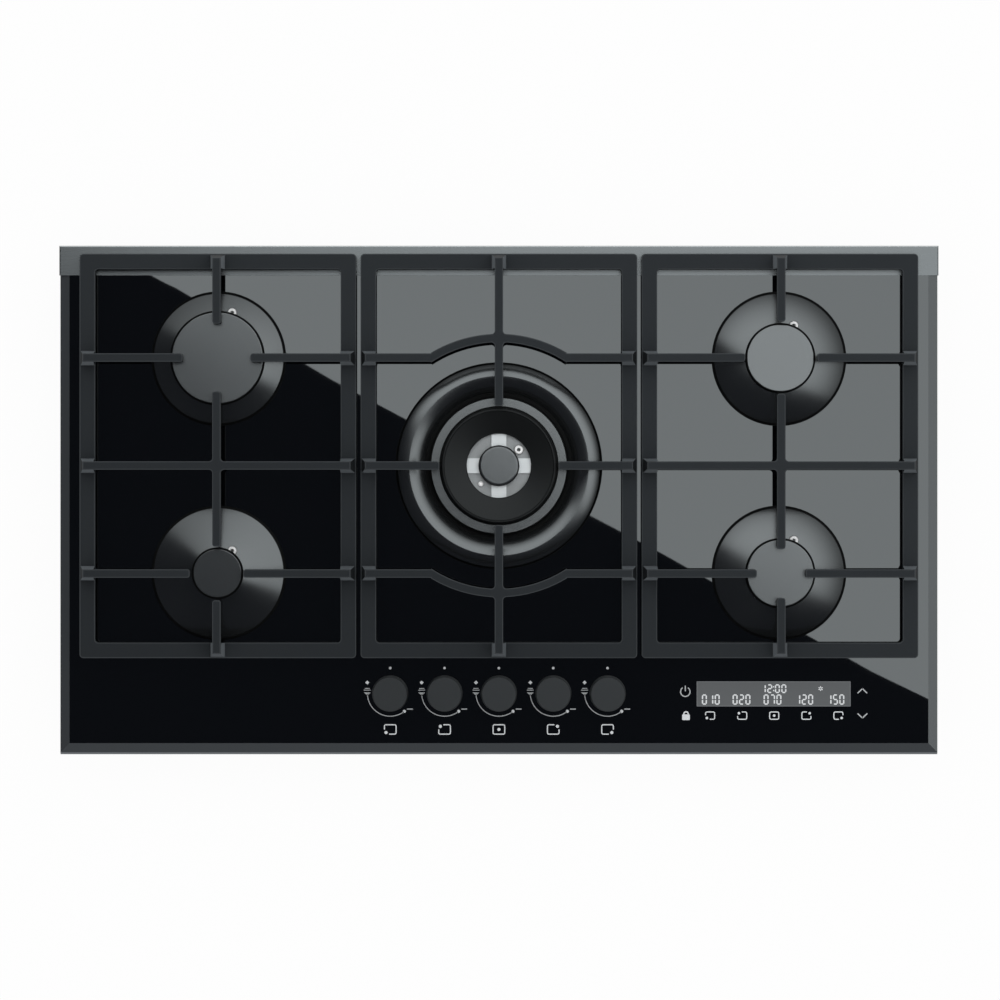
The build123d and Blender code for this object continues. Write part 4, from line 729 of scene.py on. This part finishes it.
def digit(sign, x, y, wide, high):
    """Seven-segment digit whose middle is at x, y."""
    w, h = wide / 2 - STROKE / 2, high / 2 - STROKE / 2
    gap = STROKE * 0.3
    ends = {
        "a": (-w + gap, h, w - gap, h), "d": (-w + gap, -h, w - gap, -h), "g": (-w + gap, 0, w - gap, 0),
        "f": (-w, gap, -w, h - gap), "b": (w, gap, w, h - gap),
        "e": (-w, -gap, -w, gap - h), "c": (w, -gap, w, gap - h),
    }
    strokes = [ends[segment] for segment in SEGMENTS[sign]]
    return [print_bar(x + x0, y + y0, x + x1, y + y1, STROKE, INK_Z) for x0, y0, x1, y1 in strokes]


def number(text, last, top, bottom):
    """Digits set leftwards from the last one, between two heights in pixels; a colon takes less room."""
    x, low = on_glass(last, bottom)
    high = on_glass(last, top)[1]
    y, cursor, marks = (low + high) / 2, x + DIGIT_PITCH / 2, []
    for sign in reversed(text):
        room = DIGIT_PITCH * (0.2 if sign == ":" else 1.0)
        x = cursor - room / 2
        if sign == ":":
            marks += [print_disc(x, y + up, 0.7 * MM, INK_Z) for up in (-1.9 * MM, 1.9 * MM)]
        else:
            marks += digit(sign, x, y, DIGIT_PITCH * 0.8, high - low)
        cursor -= room
    return marks


printed(number("12:00", CLOCK_LAST, *CLOCK_ROWS), "clock_digits", DIGIT)
for i, (text, last) in enumerate(TIMERS):
    printed(number(text, last, *TIMER_ROWS), f"timer_digits_{i + 1}", DIGIT)

star_x, star_y = on_glass(*DISPLAY_STAR)
STAR_R = 2.4 * MM
rays = []
for angle in (90, 30, -30):
    dx, dy = STAR_R * cos(radians(angle)), STAR_R * sin(radians(angle))
    rays.append(print_bar(star_x - dx, star_y - dy, star_x + dx, star_y + dy, 1.0 * MM, INK_Z))
printed(rays, "display_star", DIGIT)


# ------------------------------------------------------------------ studio
CARD_HEIGHT = 1.5            # above the glass
CARD_REACH = 6.0
FADE_NEAR, FADE_FAR = 0.7, 2.8
CARD_TINT, DARK_TINT = (0.922, 1.0, 1.025), (0.85, 1.0, 1.3)
EDGE = [                     # where the glass shows the cards' common edge, in pixels
    (-6000, -3075), (164, 282.4), (176, 288.1), (332, 379.9), (404, 418.3), (600, 520.7),
    (662, 553.5), (872, 671.7), (926, 697.8), (7000, 4007),
]


def soft_card(name, front, rear, strength, tint, faded):
    """Card between two rows of points that only reflections see; far out it fades to a share."""
    height = GLASS_TOP + CARD_HEIGHT
    clear_selection()
    bpy.ops.mesh.primitive_grid_add(x_subdivisions=len(front) - 1, y_subdivisions=1, size=1,
                                    location=(0, 0, height))
    card = bpy.context.object
    settle(card)
    rows = sorted(card.data.vertices, key=lambda v: (round(v.co.y, 3), v.co.x))
    for vertex, (x, y) in zip(rows, front + rear, strict=True):
        vertex.co = (x, y, height)
    f = Finish(name + "_light")
    x, y, _ = f.axes(f.place())
    away = (x * x + y * y).math("SQRT").above((FADE_NEAR + FADE_FAR) / 2, (FADE_FAR - FADE_NEAR) / 2)
    shade = f.mix(away, grey(1.0, tint), grey(faded, tint))
    glow = f.node("ShaderNodeEmission", None, {"Color": shade, "Strength": strength})
    f.node("ShaderNodeOutputMaterial", None, {"Surface": glow})
    card.data.materials.append(f.data)
    card.name = card.data.name = name
    card.visible_camera = card.visible_diffuse = False
    card.visible_shadow = card.visible_transmission = False


def on_card(px, py):
    """The point of the card that the glass shows at a pixel."""
    x, y = on_glass(px, py)
    grow = 1 + CARD_HEIGHT / CAMERA_HEIGHT
    return CENTRE_X + (x - CENTRE_X) * grow, CENTRE_Y + (y - CENTRE_Y) * grow


edge = [on_card(px, py) for px, py in EDGE]
bright_side = [(x + CARD_REACH, y + 2 * CARD_REACH) for x, y in edge]
dark_side = [(x - CARD_REACH, y - 2 * CARD_REACH) for x, y in edge]
soft_card("reflection_card", edge, bright_side, strength=4.1, tint=CARD_TINT, faded=0.09)
soft_card("dark_card", dark_side, edge, strength=0.075, tint=DARK_TINT, faded=1.0)

FLOOR_SIZE = 9
clear_selection()
bpy.ops.mesh.primitive_plane_add(size=FLOOR_SIZE, location=(0, 0, FLOOR_Z))
floor = bpy.context.object
settle(floor)
floor.name = floor.data.name = "studio_floor"
f = Finish("pale_floor")
paper = f.noise(3, 2)
matt = f.node("ShaderNodeBsdfDiffuse", None, {"Color": f.mix(paper, grey(0.8), grey(0.84))})
white = f.node("ShaderNodeEmission", None, {"Color": grey(1.0), "Strength": 1.0})
both = f.node("ShaderNodeMixShader", None, {0: f.seen() * 0.95, 1: matt, 2: white})
f.node("ShaderNodeOutputMaterial", None, {"Surface": both})
floor.data.materials.append(f.data)

sky = Finish("studio", world=True)
plain = sky.node("ShaderNodeBackground", None, {"Color": grey(1.0), "Strength": 0.92})
white = sky.node("ShaderNodeBackground", None, {"Color": grey(1.0), "Strength": 1.0})
both = sky.node("ShaderNodeMixShader", None, {0: sky.seen(), 1: plain, 2: white})
sky.node("ShaderNodeOutputWorld", None, {"Surface": both})
bpy.context.scene.world = sky.data

LAMP_PLACE = (1.5, 1.3, 2.2)
LAMP_SIZE = 1.6
LAMP_WATTS = 7.0
key_light = bpy.data.lights.new("key", "AREA")
key_light.shape, key_light.size, key_light.size_y = "RECTANGLE", LAMP_SIZE, LAMP_SIZE
key_light.energy = LAMP_WATTS
key_lamp = bpy.data.objects.new("key", key_light)
bpy.context.scene.collection.objects.link(key_lamp)
key_lamp.location = LAMP_PLACE
key_lamp.rotation_euler = (-key_lamp.location).to_track_quat("-Z", "Y").to_euler()

camera_data = bpy.data.cameras.new("camera")
camera_data.sensor_width = 36.0
camera_data.lens = camera_data.sensor_width * CAMERA_HEIGHT / (PIXELS * SCALE)
camera_data.clip_start, camera_data.clip_end = 0.1, 60.0
camera = bpy.data.objects.new("camera", camera_data)
bpy.context.scene.collection.objects.link(camera)
camera.location = (CENTRE_X, CENTRE_Y, GLASS_TOP + CAMERA_HEIGHT)
bpy.context.scene.camera = camera
bpy.context.scene.view_settings.view_transform = "Standard"
